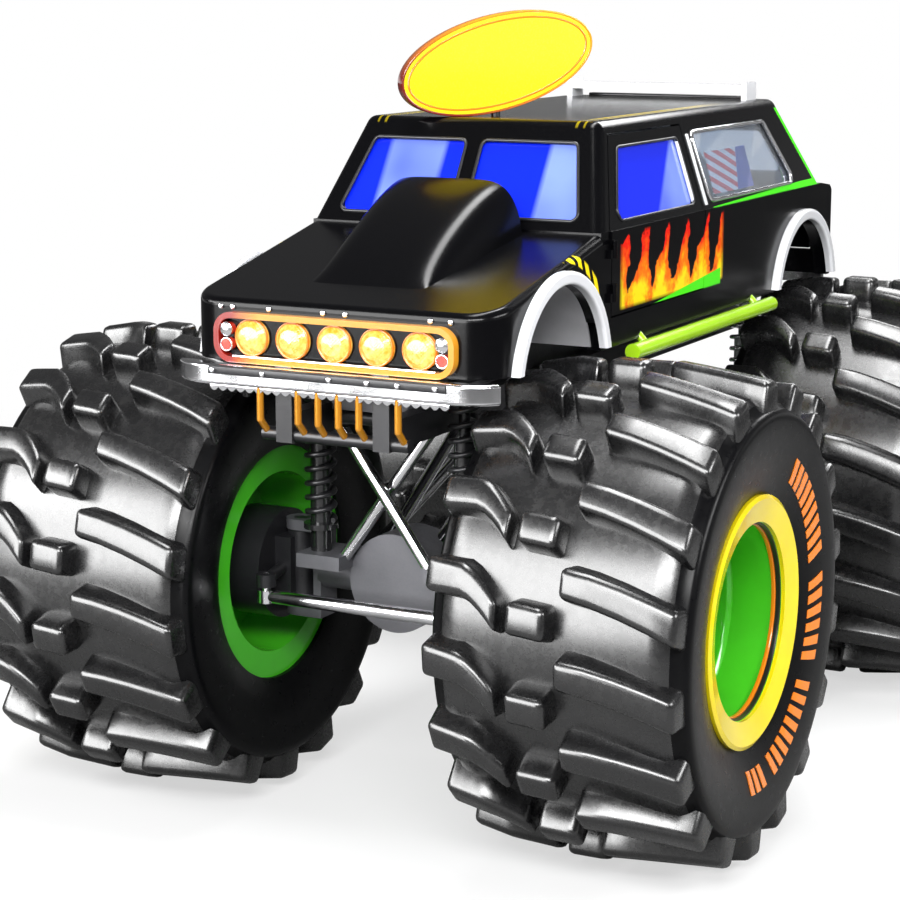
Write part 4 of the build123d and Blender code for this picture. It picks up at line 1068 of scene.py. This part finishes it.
@dataclass(frozen=True)
class BarSection:
    """Section of a tread bar: share of the half width, then shift round the tyre, half widths and depths."""

    across: float
    shift: float
    tip_half: float
    root_half: float
    tip_depth: float
    root_depth: float

    def toward(self, other: "BarSection", share: float) -> "BarSection":
        """Section part of the way to another one, on a curve that starts gently."""
        section = BarSection(*(a + (b - a) * share for a, b in zip(astuple(self), astuple(other))))
        return replace(section, shift=self.shift + (other.shift - self.shift) * share ** BAR_BEND)

    def point(self, beside: float, rise: float, radius: float, half_width: float) -> Vector:
        """Place of a point of the section, with the bar at the top of the tyre.

        Args:
            beside: -1 to 1 over the bar's width.
            rise: 0 at its root to 1 at its tip.
            radius: Of the tyre.
            half_width: Of the tyre.

        Returns:
            The point.
        """
        half = self.root_half + (self.tip_half - self.root_half) * rise
        depth = self.root_depth + (self.tip_depth - self.root_depth) * rise
        return Vector((self.across * half_width, self.shift + beside * half, radius - depth))


OUTER_BAR = (
    BarSection(0.10, 0.085, 0.054, 0.072, 0.009, 0.150),
    BarSection(0.97, -0.048, 0.062, 0.088, 0.055, 0.270),
)
INNER_BAR = (
    BarSection(-0.97, 0.060, 0.062, 0.084, 0.055, 0.270),
    BarSection(-0.66, 0.050, 0.058, 0.080, 0.022, 0.160),
    BarSection(-0.36, -0.090, 0.052, 0.070, 0.015, 0.150),
)
CENTRE_BLOCK = (
    BarSection(-0.28, 0.008, 0.058, 0.070, 0.0, 0.145),
    BarSection(0.03, -0.008, 0.058, 0.070, 0.0, 0.145),
)


@dataclass
class Tyre:
    """Giant tyre turned about the X axis, with two rows of swept bars and blocks between them."""

    radius: float
    half_width: float
    bead_radius: float
    bars: int = 18
    block_turn: float = math.radians(4.7)
    crown_depth: float = 0.121
    sleeve: Span = (0.002, 0.02)
    edge: float = 0.028
    fullness: float = 1.14
    steps: int = 144
    mark_radii: tuple[float, float] = (0.640, 0.745)
    mark_slant: float = math.radians(2.5)
    mark_wide: float = math.radians(3.4)
    mark_pitch: float = math.radians(5.6)
    mark_groups: tuple[tuple[float, int], ...] = ((170, 3), (192, 8), (243, 6), (283, 9))
    mark_proud: float = 0.004
    mark_thick: float = 0.010

    def outline(self) -> list[tuple[float, float]]:
        """Half of the carcass outline, from the bead to the crown, as (out, radius).

        Returns:
            The points in order.
        """
        wide, bead, crown = self.half_width, self.bead_radius, self.radius - self.crown_depth
        return [
            (wide - 0.075, bead),
            (wide - 0.056, bead + 0.040),
            (wide - 0.030, bead + 0.120),
            (wide - 0.012, bead + 0.200),
            (wide - 0.003, bead + 0.275),
            (wide, bead + 0.320),
            (wide - 0.002, bead + 0.346),
            (wide - 0.010, bead + 0.362),
            (wide - 0.026, bead + 0.370),
            (wide - 0.048, bead + 0.374),
            (wide - 0.070, crown - 0.030),
            (wide - 0.100, crown - 0.010),
            (wide - 0.160, crown - 0.002),
            (wide - 0.375, crown),
        ]

    def wall_at(self, radius: float) -> float:
        """How far out the side wall stands at a radius.

        Args:
            radius: Distance from the wheel's axis.

        Returns:
            Distance from the tyre's middle plane.
        """
        for (out, low), (next_out, high) in pairwise(self.outline()):
            if low <= radius <= high:
                return out + (next_out - out) * (radius - low) / (high - low)
        return self.half_width

    def bar(self, sections: Sequence[BarSection]) -> Piece:
        """Model one bar or block at the top of the tyre.

        Args:
            sections: Its sections from one end to the other.

        Returns:
            The mesh with rounded edges.
        """
        legs = len(sections) - 1
        deselect()
        bpy.ops.mesh.primitive_cube_add(size=1)
        piece = bpy.context.object
        edit(piece)
        bpy.ops.mesh.select_mode(type="EDGE")
        bpy.ops.mesh.select_all(action="DESELECT")
        bpy.ops.object.mode_set(mode="OBJECT")
        for rib in piece.data.edges:
            start, end = (piece.data.vertices[index].co.x for index in rib.vertices)
            rib.select = abs(end - start) > 0.5
        bpy.ops.object.mode_set(mode="EDIT")
        bpy.ops.mesh.subdivide(number_cuts=4 * legs - 1)
        bpy.ops.object.mode_set(mode="OBJECT")
        for vertex in piece.data.vertices:
            along, beside, rise = (value + 0.5 for value in vertex.co)
            leg = min(int(along * legs), legs - 1)
            section = sections[leg].toward(sections[leg + 1], along * legs - leg)
            vertex.co = section.point(self.fullness * (2 * beside - 1), rise, self.radius, self.half_width)
        return bevelled(closed(piece), self.edge, 3, 30)

    def carcass(self) -> Piece:
        """Turn the carcass under the bars, at the origin."""
        half = self.outline()
        return turned(half + [(-out, radius) for out, radius in reversed(half)], self.steps)

    def tread(self) -> Piece:
        """Join the crown's sleeve, all bars and all blocks.

        Returns:
            The tread at the origin.
        """
        raised, thick = self.sleeve
        crown = [(out, radius + raised) for out, radius in self.outline()[-4:]]
        crown += [(-out, radius) for out, radius in reversed(crown)]
        under = [(out, radius - thick) for out, radius in reversed(crown)]
        sleeve = turned(crown + under, self.steps)
        pitch = math.tau / self.bars
        rows = []
        for sections, turn in ((OUTER_BAR, 0.0), (INNER_BAR, 0.0), (CENTRE_BLOCK, self.block_turn)):
            turns = (turn - self.block_turn + pitch * step for step in range(self.bars))
            rows.append(repeated(self.bar(sections), (Matrix.Rotation(angle, 4, "X") for angle in turns)))
        return joined([sleeve, *rows])

    def marks(self) -> Piece:
        """Model the slanted coloured bars on the outer side wall.

        Returns:
            The bars, joined.
        """
        low, high = self.mark_radii

        def place_of(beside: float, rise: float) -> Point:
            """Place on the side wall with the bar at the top.

            Args:
                beside: Share across the bar.
                rise: Share of the bar's height.

            Returns:
                The place.
            """
            radius = low + (high - low) * rise
            angle = (beside - 0.5) * self.mark_wide + self.mark_slant * rise
            out = self.wall_at(radius) + self.mark_proud
            return (out, -radius * math.sin(angle), radius * math.cos(angle))

        bar = plate(4, 8, place_of, -self.mark_thick)
        return repeated(bar, (
            Matrix.Rotation(math.radians(start) + self.mark_pitch * step, 4, "X")
            for start, count in self.mark_groups for step in range(count)
        ))


@dataclass
class Wheels:
    """The four wheels: tyres in place of their solids, and what is set in the rims."""

    shop: Shop
    corners: tuple[str, ...] = ("front_left", "front_right", "rear_left", "rear_right")
    band: Outline = ((0.479, 0.4295), (0.458, 0.4295), (0.458, 0.421), (0.479, 0.421))
    pin: Outline = ((0.457, 0.4295), (0.438, 0.4295), (0.438, 0.414), (0.457, 0.414))
    step: Outline = ((0.262, 0.4295), (0.236, 0.398), (0.205, 0.404), (0.060, 0.392), (0.048, 0.4295))
    rim_steps: int = 96
    nuts: int = 8
    nut: Span = (0.016, 0.018)
    nut_ring: float = 0.112
    nut_face: float = 0.040
    cap: Span = (0.055, 0.03)
    bead_gap: float = 0.002

    def fittings(self) -> dict[str, tuple[Piece, str, str]]:
        """Model what is set in one rim, facing +X.

        Returns:
            Piece, slot and finish by name.
        """
        spots = (Vector((self.nut_face, place.x, place.z)) for place in ring(self.nut_ring, self.nuts))
        nuts = repeated(bolt(*self.nut), (facing(spot, (1, 0, 0)) for spot in spots))
        cap = repeated(bolt(*self.cap), [facing((self.nut_face, 0, 0), (1, 0, 0))])
        return {
            "rim_band": (bevelled(turned(self.band, self.rim_steps), 0.002), "frame_black", "frame_black"),
            "pin_ring": (bevelled(turned(self.pin, self.rim_steps), 0.004), "gold_trim", "orange"),
            "rim_step": (bevelled(turned(self.step, self.rim_steps), 0.006), "rim_green", "rim_green"),
            "hub_nuts": (joined([nuts, cap]), "bright", "bright"),
        }

    def build(self) -> None:
        """Model one wheel's pieces and set them on each corner."""
        low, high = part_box("tyre_front_left")
        ring_low, ring_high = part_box("ring_front_left")
        tyre = Tyre(
            radius=(high.z - low.z) / 2,
            half_width=(high.x - low.x) / 2,
            bead_radius=(ring_high.z - ring_low.z) / 2 + self.bead_gap,
        )
        rubber = {
            "tyre_carcass": (tyre.carcass(), "sidewall_black"),
            "lugged_tread": (tyre.tread(), "tyre_rubber"),
        }
        fittings = self.fittings()
        fittings["tyre_marks"] = (tyre.marks(), "gold_trim", "orange")
        for corner in self.corners:
            low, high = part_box(f"tyre_{corner}")
            place = Matrix.Translation((low + high) / 2)
            side = Side.LEFT if corner.endswith("left") else Side.RIGHT
            mirror = Matrix.Diagonal((side.value, 1, 1, 1))
            body = f"wheel_{corner}"
            for name, (piece, finish) in rubber.items():
                self.shop.settle(copied(piece, place), f"{name}_{corner}", body, "tyre_rubber", finish,
                                 stands_for=(f"tyre_{corner}",), smooth=45)
            for name, (piece, slot, finish) in fittings.items():
                self.shop.settle(copied(piece, place @ mirror), f"{name}_{corner}", body, slot, finish)
        for piece, *_ in (*rubber.values(), *fittings.values()):
            bpy.data.objects.remove(piece)


@dataclass
class Suspension:
    """Wire coils over the four dampers, in place of the ribbed sleeves."""

    shop: Shop
    coil_radius: float = 0.063
    wire_radius: float = 0.013
    wire_sides: int = 10
    turns: int = 14
    steps: int = 28

    def coil(self, height: float) -> Piece:
        """Wind one coil up from the origin.

        Args:
            height: From the middle of the first turn to that of the last.

        Returns:
            The coil, closed at its ends.
        """
        out = Vector((self.coil_radius, 0, 0))
        piece = loop_of([out + place for place in ring(self.wire_radius, self.wire_sides)])
        steps = self.steps * self.turns
        applied(piece, "SCREW", angle=math.tau * self.turns, screw_offset=height, steps=steps,
                render_steps=steps)
        edit(piece)
        bpy.ops.mesh.fill_holes(sides=0)
        return closed(piece)

    def build(self) -> None:
        """Set a coil at each damper, dark in front and bright behind."""
        low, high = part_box("springs")
        outer = self.coil_radius + self.wire_radius
        pattern = self.coil(high.z - low.z - 2 * self.wire_radius)
        for end, along, slot in (("front", low.y + outer, "frame_black"), ("rear", high.y - outer, "bright")):
            places = pair(high.x - outer, along, low.z + self.wire_radius)
            coils = joined([copied(pattern, place) for place in places])
            self.shop.settle(coils, f"coils_{end}", CHASSIS, slot, stands_for=("springs",), smooth=60)
        bpy.data.objects.remove(pattern)


@dataclass
class Nose:
    """Lamp bezels, marker caps, bolts, the dark bumper strip and the scalloped skirt."""

    shop: Shop
    bezel: float = 0.0055
    bezel_seat: float = 0.032
    bezel_gap: float = 0.002
    marker_x: float = 0.530
    marker_lap: float = 0.004
    cap_seat: float = 0.004
    marker_wire: float = 0.004
    wire_seat: float = 0.003
    bolt_size: Span = (0.0125, 0.008)
    hood_bolt_rise: float = 0.013
    bolt_proud: float = 0.005
    hood_bolts: tuple[float, ...] = (-0.575, -0.515, -0.33, -0.06, 0.05, 0.46, 0.555)
    strip_bolts: tuple[float, ...] = (-0.56, -0.305, 0.025, 0.21, 0.356, 0.535)
    strip_size: Point = (1.17, 0.012, 0.034)
    strip_drop: float = 0.024
    strip_seat: float = 0.001
    bar_size: Point = (1.0, 0.016, 0.014)
    bar_deep: float = 0.012
    bar_rise: float = 0.026
    skirt_half: float = 0.59
    skirt_depth: float = 0.027
    skirt_lap: float = 0.004
    skirt_back: float = 0.016
    skirt_thick: float = 0.008
    scallop_least: float = 0.45
    scallops: int = 26
    scallop_steps: int = 6

    def bezels(self) -> None:
        """Ring the five lamps."""
        low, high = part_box("lamps")
        radius = (high.z - low.z) / 2
        pitch = (high.x - low.x - 2 * radius) / 4
        pattern = tube(ring(radius + self.bezel_gap - self.bezel, 40), self.bezel)
        seat = Vector((0, low.y + self.bezel_seat, (low.z + high.z) / 2))
        places = [Matrix.Translation(seat + Vector((pitch * step, 0, 0))) for step in range(-2, 3)]
        self.shop.settle(repeated(pattern, places), "lamp_bezels", CHASSIS, "gold_trim", "orange", smooth=60)

    def marker_caps(self) -> None:
        """Cap the upper markers in bright metal and ring the lower ones."""
        low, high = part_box("marker_lamps")
        radius = high.x - self.marker_x
        rim = radius + self.marker_lap
        dome = turned(((0, 0.0005), (0, rim), (0.006, rim), (0.012, radius * 0.8), (0.016, radius * 0.45),
                       (0.018, 0.0005)), 32)
        forward = Matrix.Rotation(math.radians(-90), 4, "Z")
        places = [place @ forward for place in pair(self.marker_x, low.y + self.cap_seat, high.z - radius)]
        self.shop.settle(repeated(dome, places), "marker_caps", CHASSIS, "bright")
        places = pair(self.marker_x, low.y + self.wire_seat, low.z + radius)
        rings = repeated(tube(ring(radius, 32), self.marker_wire), places)
        self.shop.settle(rings, "marker_rings", CHASSIS, "bright", smooth=60)

    def bolts(self) -> None:
        """Set the bolts along the hood's front edge and on the bumper strip."""
        low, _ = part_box("hood")
        spots = [(across, low.y, low.z + self.hood_bolt_rise) for across in self.hood_bolts]
        low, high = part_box("front_bumper")
        spots += [(across, low.y - self.bolt_proud, high.z - self.strip_drop) for across in self.strip_bolts]
        heads = repeated(bolt(*self.bolt_size), (facing(spot, (0, -1, 0)) for spot in spots))
        self.shop.settle(heads, "nose_bolts", CHASSIS, "bright")

    def strips(self) -> None:
        """Lay the dark strip along the bumper and the bright bar in the lamp surround."""
        low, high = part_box("front_bumper")
        place = Matrix.Translation((0, low.y + self.strip_seat, high.z - self.strip_drop))
        self.shop.settle(block(self.strip_size, place, 0.004), "bumper_strip", CHASSIS, "frame_black")
        low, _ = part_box("lamp_surround")
        place = Matrix.Translation((0, low.y + self.bar_deep, low.z + self.bar_rise))
        self.shop.settle(block(self.bar_size, place, 0.004), "surround_bar", CHASSIS, "bright")

    def skirt(self) -> None:
        """Hang the scalloped skirt under the bumper."""
        low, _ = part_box("front_bumper")
        pitch = 2 * self.skirt_half / self.scallops
        edge = [(side * self.skirt_half, low.z + self.skirt_lap) for side in (1, -1)]
        for step in range(self.scallops * self.scallop_steps + 1):
            share = step / self.scallop_steps
            swing = (1 - self.scallop_least) * math.sin(math.pi * (share % 1))
            drop = self.skirt_depth * (self.scallop_least + swing)
            edge.append((pitch * share - self.skirt_half, low.z - drop))
        outline = [(across, low.y + self.skirt_back, up) for across, up in edge]
        skirt = slab(outline, (0, self.skirt_thick, 0), 0.001)
        self.shop.settle(skirt, "bumper_skirt", CHASSIS, "bright")

    def build(self) -> None:
        """Model all nose fittings."""
        self.bezels()
        self.marker_caps()
        self.bolts()
        self.strips()
        self.skirt()


@dataclass
class Scoop:
    """Smooth skin over the hood's scoop, rising to the windscreen."""

    shop: Shop
    front_y: float = -1.97
    rear_y: float = -1.192
    front_half: float = 0.285
    rear_half: float = 0.380
    rise: float = 0.245
    swell: float = 1.6
    shoulder: Span = (6, 0.75)
    sink: float = 0.003
    thick: float = 0.006
    hood_front: Span = (-2.24, 2.435)
    slope: float = 0.2156

    def place(self, beside: float, along: float) -> Point:
        """Place on the skin, from its shares across and along.

        Args:
            beside: Share across, from 0 to 1.
            along: Share along, from the front.

        Returns:
            The place.
        """
        side = 2 * beside - 1
        square, ease = self.shoulder
        y = self.front_y + (self.rear_y - self.front_y) * along
        half = self.front_half + (self.rear_half - self.front_half) * along
        crown = self.rise * (1 - (1 - along) ** self.swell) + self.sink
        base = self.hood_front[1] + self.slope * (y - self.hood_front[0]) - self.sink
        return (side * half, y, base + crown * max(0.0, 1 - abs(side) ** square) ** ease)

    def build(self) -> None:
        """Model the skin."""
        skin = plate(60, 40, self.place, self.thick)
        self.shop.settle(skin, "scoop_skin", CHASSIS, "body_black", smooth=70)


@dataclass
class Cab:
    """Window trims, white strips laid as painted highlights on the door glass's edge and the pillar, side
    panels and the lip at the roof's rear.
    """

    shop: Shop
    belt_half: float = 0.75
    belt_z: float = 2.68
    lean: float = 0.14 / 0.48
    screen: Span = (-1.15, 0.29 / 0.48)
    gate: Span = (1.90, -0.40 / 0.48)
    corner: float = 0.04
    pane_corner: float = 0.03
    quarter_wire: float = 0.012
    door_wire: float = 0.007
    seal_wire: float = 0.008
    gate_wire: float = 0.009
    door_window: Outline = ((-0.945, 2.715), (-0.74, 3.04), (0.0, 3.04), (0.03, 2.715))
    quarter_window: Outline = ((0.23, 2.715), (0.18, 3.055), (1.23, 3.055), (1.50, 2.715))
    windscreen: Outline = ((0.04, 2.725), (0.625, 2.725), (0.53, 3.065), (0.04, 3.065))
    gate_window: Outline = ((-0.56, 2.735), (0.56, 2.735), (0.49, 2.985), (-0.49, 2.985))
    # Outlines of the white strips that are painted highlights on the door glass's edge and on the pillar.
    glass_edge_highlight: Outline = ((-0.012, 3.03), (0.012, 2.725), (0.026, 2.725), (0.0, 3.03))
    pillar: Outline = ((0.150, 2.70), (0.182, 2.70), (0.144, 3.05), (0.118, 3.05))
    panel_depth: float = 0.052
    panel_bow: float = 0.008
    panel_thick: float = 0.004
    lip_size: Point = (0.94, 0.05, 0.018)
    lip_place: Point = (0, 1.465, 3.166)

    def on_side(self, side: Side, along: float, up: float, out: float = 0.0) -> Point:
        """Place on the cab's side, or off it by a distance."""
        return (side.value * (self.belt_half - self.lean * (up - self.belt_z) + out), along, up)

    def on_slope(self, slope: Span, across: float, up: float) -> Point:
        """Place on the windscreen's or the tailgate's slope."""
        foot, lean = slope
        return (across, foot + lean * (up - self.belt_z), up)

    def side_trims(self, side: Side) -> None:
        """Trim one side's windows, and lay white strips as painted highlights on the door glass's edge and
        the pillar.

        Args:
            side: Side of the truck.
        """
        name = side.name.lower()
        door = f"door_{name}"
        for window, radius, piece, body, slot in (
            (self.quarter_window, self.quarter_wire, "quarter_trim", CHASSIS, "bright"),
            (self.door_window, self.door_wire, "door_trim", door, "frame_black"),
        ):
            loop = [self.on_side(side, *point) for point in rounded(window, self.corner)]
            self.shop.settle(tube(loop, radius), f"{piece}_{name}", body, slot, smooth=60)
        # White strips on the door glass's rear edge and on the pillar: painted highlights that stand in for
        # light lines there.
        for edge, out, thick, piece, body in (
            (self.glass_edge_highlight, -0.012, 0.016, "glass_edge_highlight", door),
            (self.pillar, -0.001, 0.007, "pillar_highlight_strip", CHASSIS),
        ):
            corners = [self.on_side(side, *point, out) for point in edge]
            strip = slab(corners, (side.value * thick, 0, 0), 0.002)
            self.shop.settle(strip, f"{piece}_{name}", body, "white_trim")

    def side_panel(self, side: Side) -> None:
        """Set the striped panel behind one quarter window.

        Args:
            side: Side of the truck.
        """
        (start, end), (low, high) = PANEL.span_y, PANEL.span_z

        def place_of(along: float, rise: float) -> Point:
            """Place behind the glass, with a slight bow."""
            out = self.panel_bow * math.sin(math.pi * along) - self.panel_depth
            return self.on_side(side, start + (end - start) * along, low + (high - low) * rise, out)

        panel = plate(16, 8, place_of, self.panel_thick)
        self.shop.settle(panel, f"side_panel_{side.name.lower()}", CHASSIS, "seat_cloth", "striped_panel")

    def screens(self) -> None:
        """Seal the windscreen panes and trim the tailgate window."""
        panes = []
        for side in Side:
            corners = [(side.value * across, up) for across, up in self.windscreen]
            loop = [self.on_slope(self.screen, *point) for point in rounded(corners, self.pane_corner)]
            panes.append(tube(loop, self.seal_wire))
        self.shop.settle(joined(panes), "windscreen_seals", CHASSIS, "frame_black", smooth=60)
        loop = [self.on_slope(self.gate, *point) for point in rounded(self.gate_window, self.corner)]
        self.shop.settle(tube(loop, self.gate_wire), "gate_trim", "liftgate", "bright", smooth=60)

    def lip(self) -> None:
        """Set the lip along the roof's rear edge."""
        lip = block(self.lip_size, Matrix.Translation(self.lip_place), 0.006)
        self.shop.settle(lip, "roof_lip", CHASSIS, "frame_black")

    def build(self) -> None:
        """Model all cab fittings."""
        for side in Side:
            self.side_trims(side)
            self.side_panel(side)
        self.screens()
        self.lip()


@dataclass
class Sign:
    """Coloured band round the blank oval sign and a bead on each face."""

    shop: Shop
    centre: Point = (-0.04, -0.62, 3.41)
    long_way: Point = (0.686, 0.686, 0.242)
    outward: Point = (0.7071, -0.7071, 0.0)
    radii: Span = (0.48, 0.215)
    half_thick: float = 0.035
    band_over: float = 0.004
    band_gap: float = 0.001
    band_thick: float = 0.010
    bead_inset: float = 0.022
    bead_wire: float = 0.005
    steps: int = 72

    def oval(self, grow: float, out: float) -> list[Vector]:
        """Loop of places round the oval.

        Args:
            grow: Added to both radii.
            out: Distance from its middle plane.

        Returns:
            The places.
        """
        along = Vector(self.long_way).normalized()
        normal = Vector(self.outward).normalized()
        up = normal.cross(along)
        long_radius, short_radius = (radius + grow for radius in self.radii)
        middle = Vector(self.centre) + normal * out
        return [middle + along * (long_radius * place.x) + up * (short_radius * place.z)
                for place in ring(1, self.steps)]

    def build(self) -> None:
        """Model the band and the beads."""
        reach = self.half_thick + self.band_over
        band = loop_of(self.oval(self.band_gap, -reach))
        edit(band)
        across = Vector(self.outward).normalized() * (2 * reach)
        bpy.ops.mesh.extrude_region_move(TRANSFORM_OT_translate={"value": across})
        applied(closed(band), "SOLIDIFY", thickness=self.band_thick, offset=1.0)
        self.shop.settle(bevelled(closed(band), 0.003), "sign_band", CHASSIS, "gold_trim", "sign_edge")
        loops = (self.oval(-self.bead_inset, side.value * self.half_thick) for side in Side)
        beads = [tube(loop, self.bead_wire) for loop in loops]
        self.shop.settle(joined(beads), "sign_beads", CHASSIS, "gold_trim", "orange", smooth=60)


@dataclass
class Tail:
    """Bright frames round the tail lamps and a pale edge on the rear bumper."""

    shop: Shop
    lamp_wide: float = 0.057
    lamp_corner: float = 0.012
    frame_wire: float = 0.005
    edge_size: Point = (1.26, 0.014, 0.014)
    edge_sink: float = 0.002

    def build(self) -> None:
        """Model both."""
        low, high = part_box("tail_lamps")
        inner = high.x - self.lamp_wide
        frames = []
        for side in Side:
            corners = [(side.value * across, up) for across, up in
                       ((inner, low.z), (high.x, low.z), (high.x, high.z), (inner, high.z))]
            loop = [(across, high.y, up) for across, up in rounded(corners, self.lamp_corner)]
            frames.append(tube(loop, self.frame_wire))
        self.shop.settle(joined(frames), "tail_lamp_frames", CHASSIS, "bright", smooth=60)
        _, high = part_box("rear_bumper")
        place = Matrix.Translation((0, high.y - self.edge_sink, high.z - self.edge_sink))
        edge = block(self.edge_size, place, 0.004)
        self.shop.settle(edge, "rear_bumper_edge", CHASSIS, "white_trim")


def hung(name: str, data: bpy.types.ID, place: Point, way: Vector) -> Piece:
    """Set a lamp or camera in the scene, pointed along a direction.

    Args:
        name: Name of the object.
        data: The lamp or the camera.
        place: Where it stands.
        way: The direction.

    Returns:
        The object.
    """
    holder = bpy.data.objects.new(name, data)
    bpy.context.scene.collection.objects.link(holder)
    holder.location = place
    holder.rotation_euler = way.to_track_quat("-Z", "Y").to_euler()
    return holder


@dataclass(frozen=True)
class Lamp:
    """Soft rectangular lamp, or a panel that only shows in shiny surfaces."""

    name: str
    place: Point
    size: Span
    watts: float
    lights_matt: bool = True

    def hang(self, target: Point) -> None:
        """Hang it, aimed at a target.

        Args:
            target: The place that it points at.
        """
        lamp = bpy.data.lights.new(self.name, "AREA")
        lamp.shape = "RECTANGLE"
        lamp.size, lamp.size_y = self.size
        lamp.energy = self.watts
        holder = hung(self.name, lamp, self.place, Vector(target) - Vector(self.place))
        holder.visible_diffuse = self.lights_matt


@dataclass
class Studio:
    """Pale floor, soft lamps and the camera at the photograph's angle."""

    camera_place: Point = (5.04, -10.94, 3.81)
    yaw: float = math.radians(27.3)
    pitch: float = math.radians(-11.25)
    focal_pixels: float = 2375
    frame_pixels: float = 900
    sensor: float = 36
    far_clip: float = 300
    horizon: Span = (0.0, 0.09)
    dark_sky: float = 0.14
    soft_sky: float = 0.30
    floor_size: float = 160
    floor_colour: Colour = (0.88, 0.88, 0.88)
    floor_bounce: Colour = (0.30, 0.30, 0.30)
    floor_fade: Span = (4.0, 10.0)
    near_floor: float = 0.62
    target: Point = (0, 0, 1.6)
    rig: tuple[Lamp, ...] = (
        Lamp("key", (3.2, -9.5, 6.4), (6.0, 2.6), 1250),
        Lamp("fill", (-8.0, -6.5, 5.5), (4.0, 2.4), 450),
        Lamp("back", (1.0, 9.0, 8.0), (7.0, 2.0), 550),
        Lamp("top", (0.0, 0.0, 10.0), (2.0, 8.0), 900),
        Lamp("side", (9.5, -1.0, 6.0), (7.0, 2.0), 750),
        Lamp("front_reflector", (-5.0, -12.5, 5.0), (11.0, 8.6), 4100, False),
    )

    def floor(self) -> None:
        """Lay the pale floor, which turns white away from the truck and keeps its shadow."""
        deselect()
        bpy.ops.mesh.primitive_plane_add(size=self.floor_size, location=(0, 0, 0))
        floor = bpy.context.object
        floor.name = "floor"
        graph = Graph("pale_floor")
        across, along, _ = graph.axes()
        path = graph.add("ShaderNodeLightPath").outputs
        seen = graph.math("MAXIMUM", path["Is Camera Ray"], path["Is Transmission Ray"])
        graph.shade(Base_Color=graph.mix(seen, self.floor_bounce, self.floor_colour), Roughness=0.9,
                    Specular_IOR_Level=0.1)
        fade = graph.span(graph.length(across, along), *self.floor_fade, self.near_floor, 1.0)
        blend = graph.add("ShaderNodeMixShader")
        graph.feed(blend.inputs[0], graph.both(seen, fade))
        graph.feed(blend.inputs[1], graph.shader.outputs["BSDF"])
        graph.feed(blend.inputs[2], graph.add("ShaderNodeEmission").outputs["Emission"])
        graph.feed(graph.tree.nodes["Material Output"].inputs["Surface"], blend.outputs["Shader"])
        floor.data.materials.append(graph.owner)

    def world(self) -> None:
        """White to the camera and through glass, and to shiny things at the horizon; dim elsewhere."""
        graph = Graph("studio", bpy.data.worlds, "Background")
        path = graph.add("ShaderNodeLightPath").outputs
        seen = graph.math("MAXIMUM", path["Is Camera Ray"], path["Is Transmission Ray"])
        _, _, height = graph.axes(graph.coordinates["Generated"])
        edge = graph.span(path["Is Glossy Ray"], 0.0, 1.0, self.soft_sky, 1.0)
        sky = graph.span(height, *self.horizon, edge, self.dark_sky)
        graph.shade(Color=(1.0, 1.0, 1.0), Strength=graph.math("MAXIMUM", seen, sky))
        bpy.context.scene.world = graph.owner

    def camera(self) -> None:
        """Set the camera at the photograph's place and angle."""
        camera = bpy.data.cameras.new("camera")
        camera.sensor_width = self.sensor
        camera.lens = self.focal_pixels * self.sensor / self.frame_pixels
        camera.clip_end = self.far_clip
        level = math.cos(self.pitch)
        aim = Vector((-math.sin(self.yaw) * level, math.cos(self.yaw) * level, math.sin(self.pitch)))
        bpy.context.scene.camera = hung("camera", camera, self.camera_place, aim)

    def build(self) -> None:
        """Set the whole studio."""
        bpy.context.scene.view_settings.view_transform = "Standard"
        self.floor()
        for lamp in self.rig:
            lamp.hang(self.target)
        self.world()
        self.camera()


def main() -> None:
    """Dress the truck piece by piece and set the studio."""
    logging.basicConfig(level=logging.INFO, format="%(name)s: %(message)s")
    finishes = Finishes()
    finishes.dress_nodes()
    shop = Shop(finishes)
    for assembly in (Wheels, Suspension, Nose, Scoop, Cab, Sign, Tail):
        assembly(shop).build()
    Studio().build()


if __name__ == "__main__":
    main()
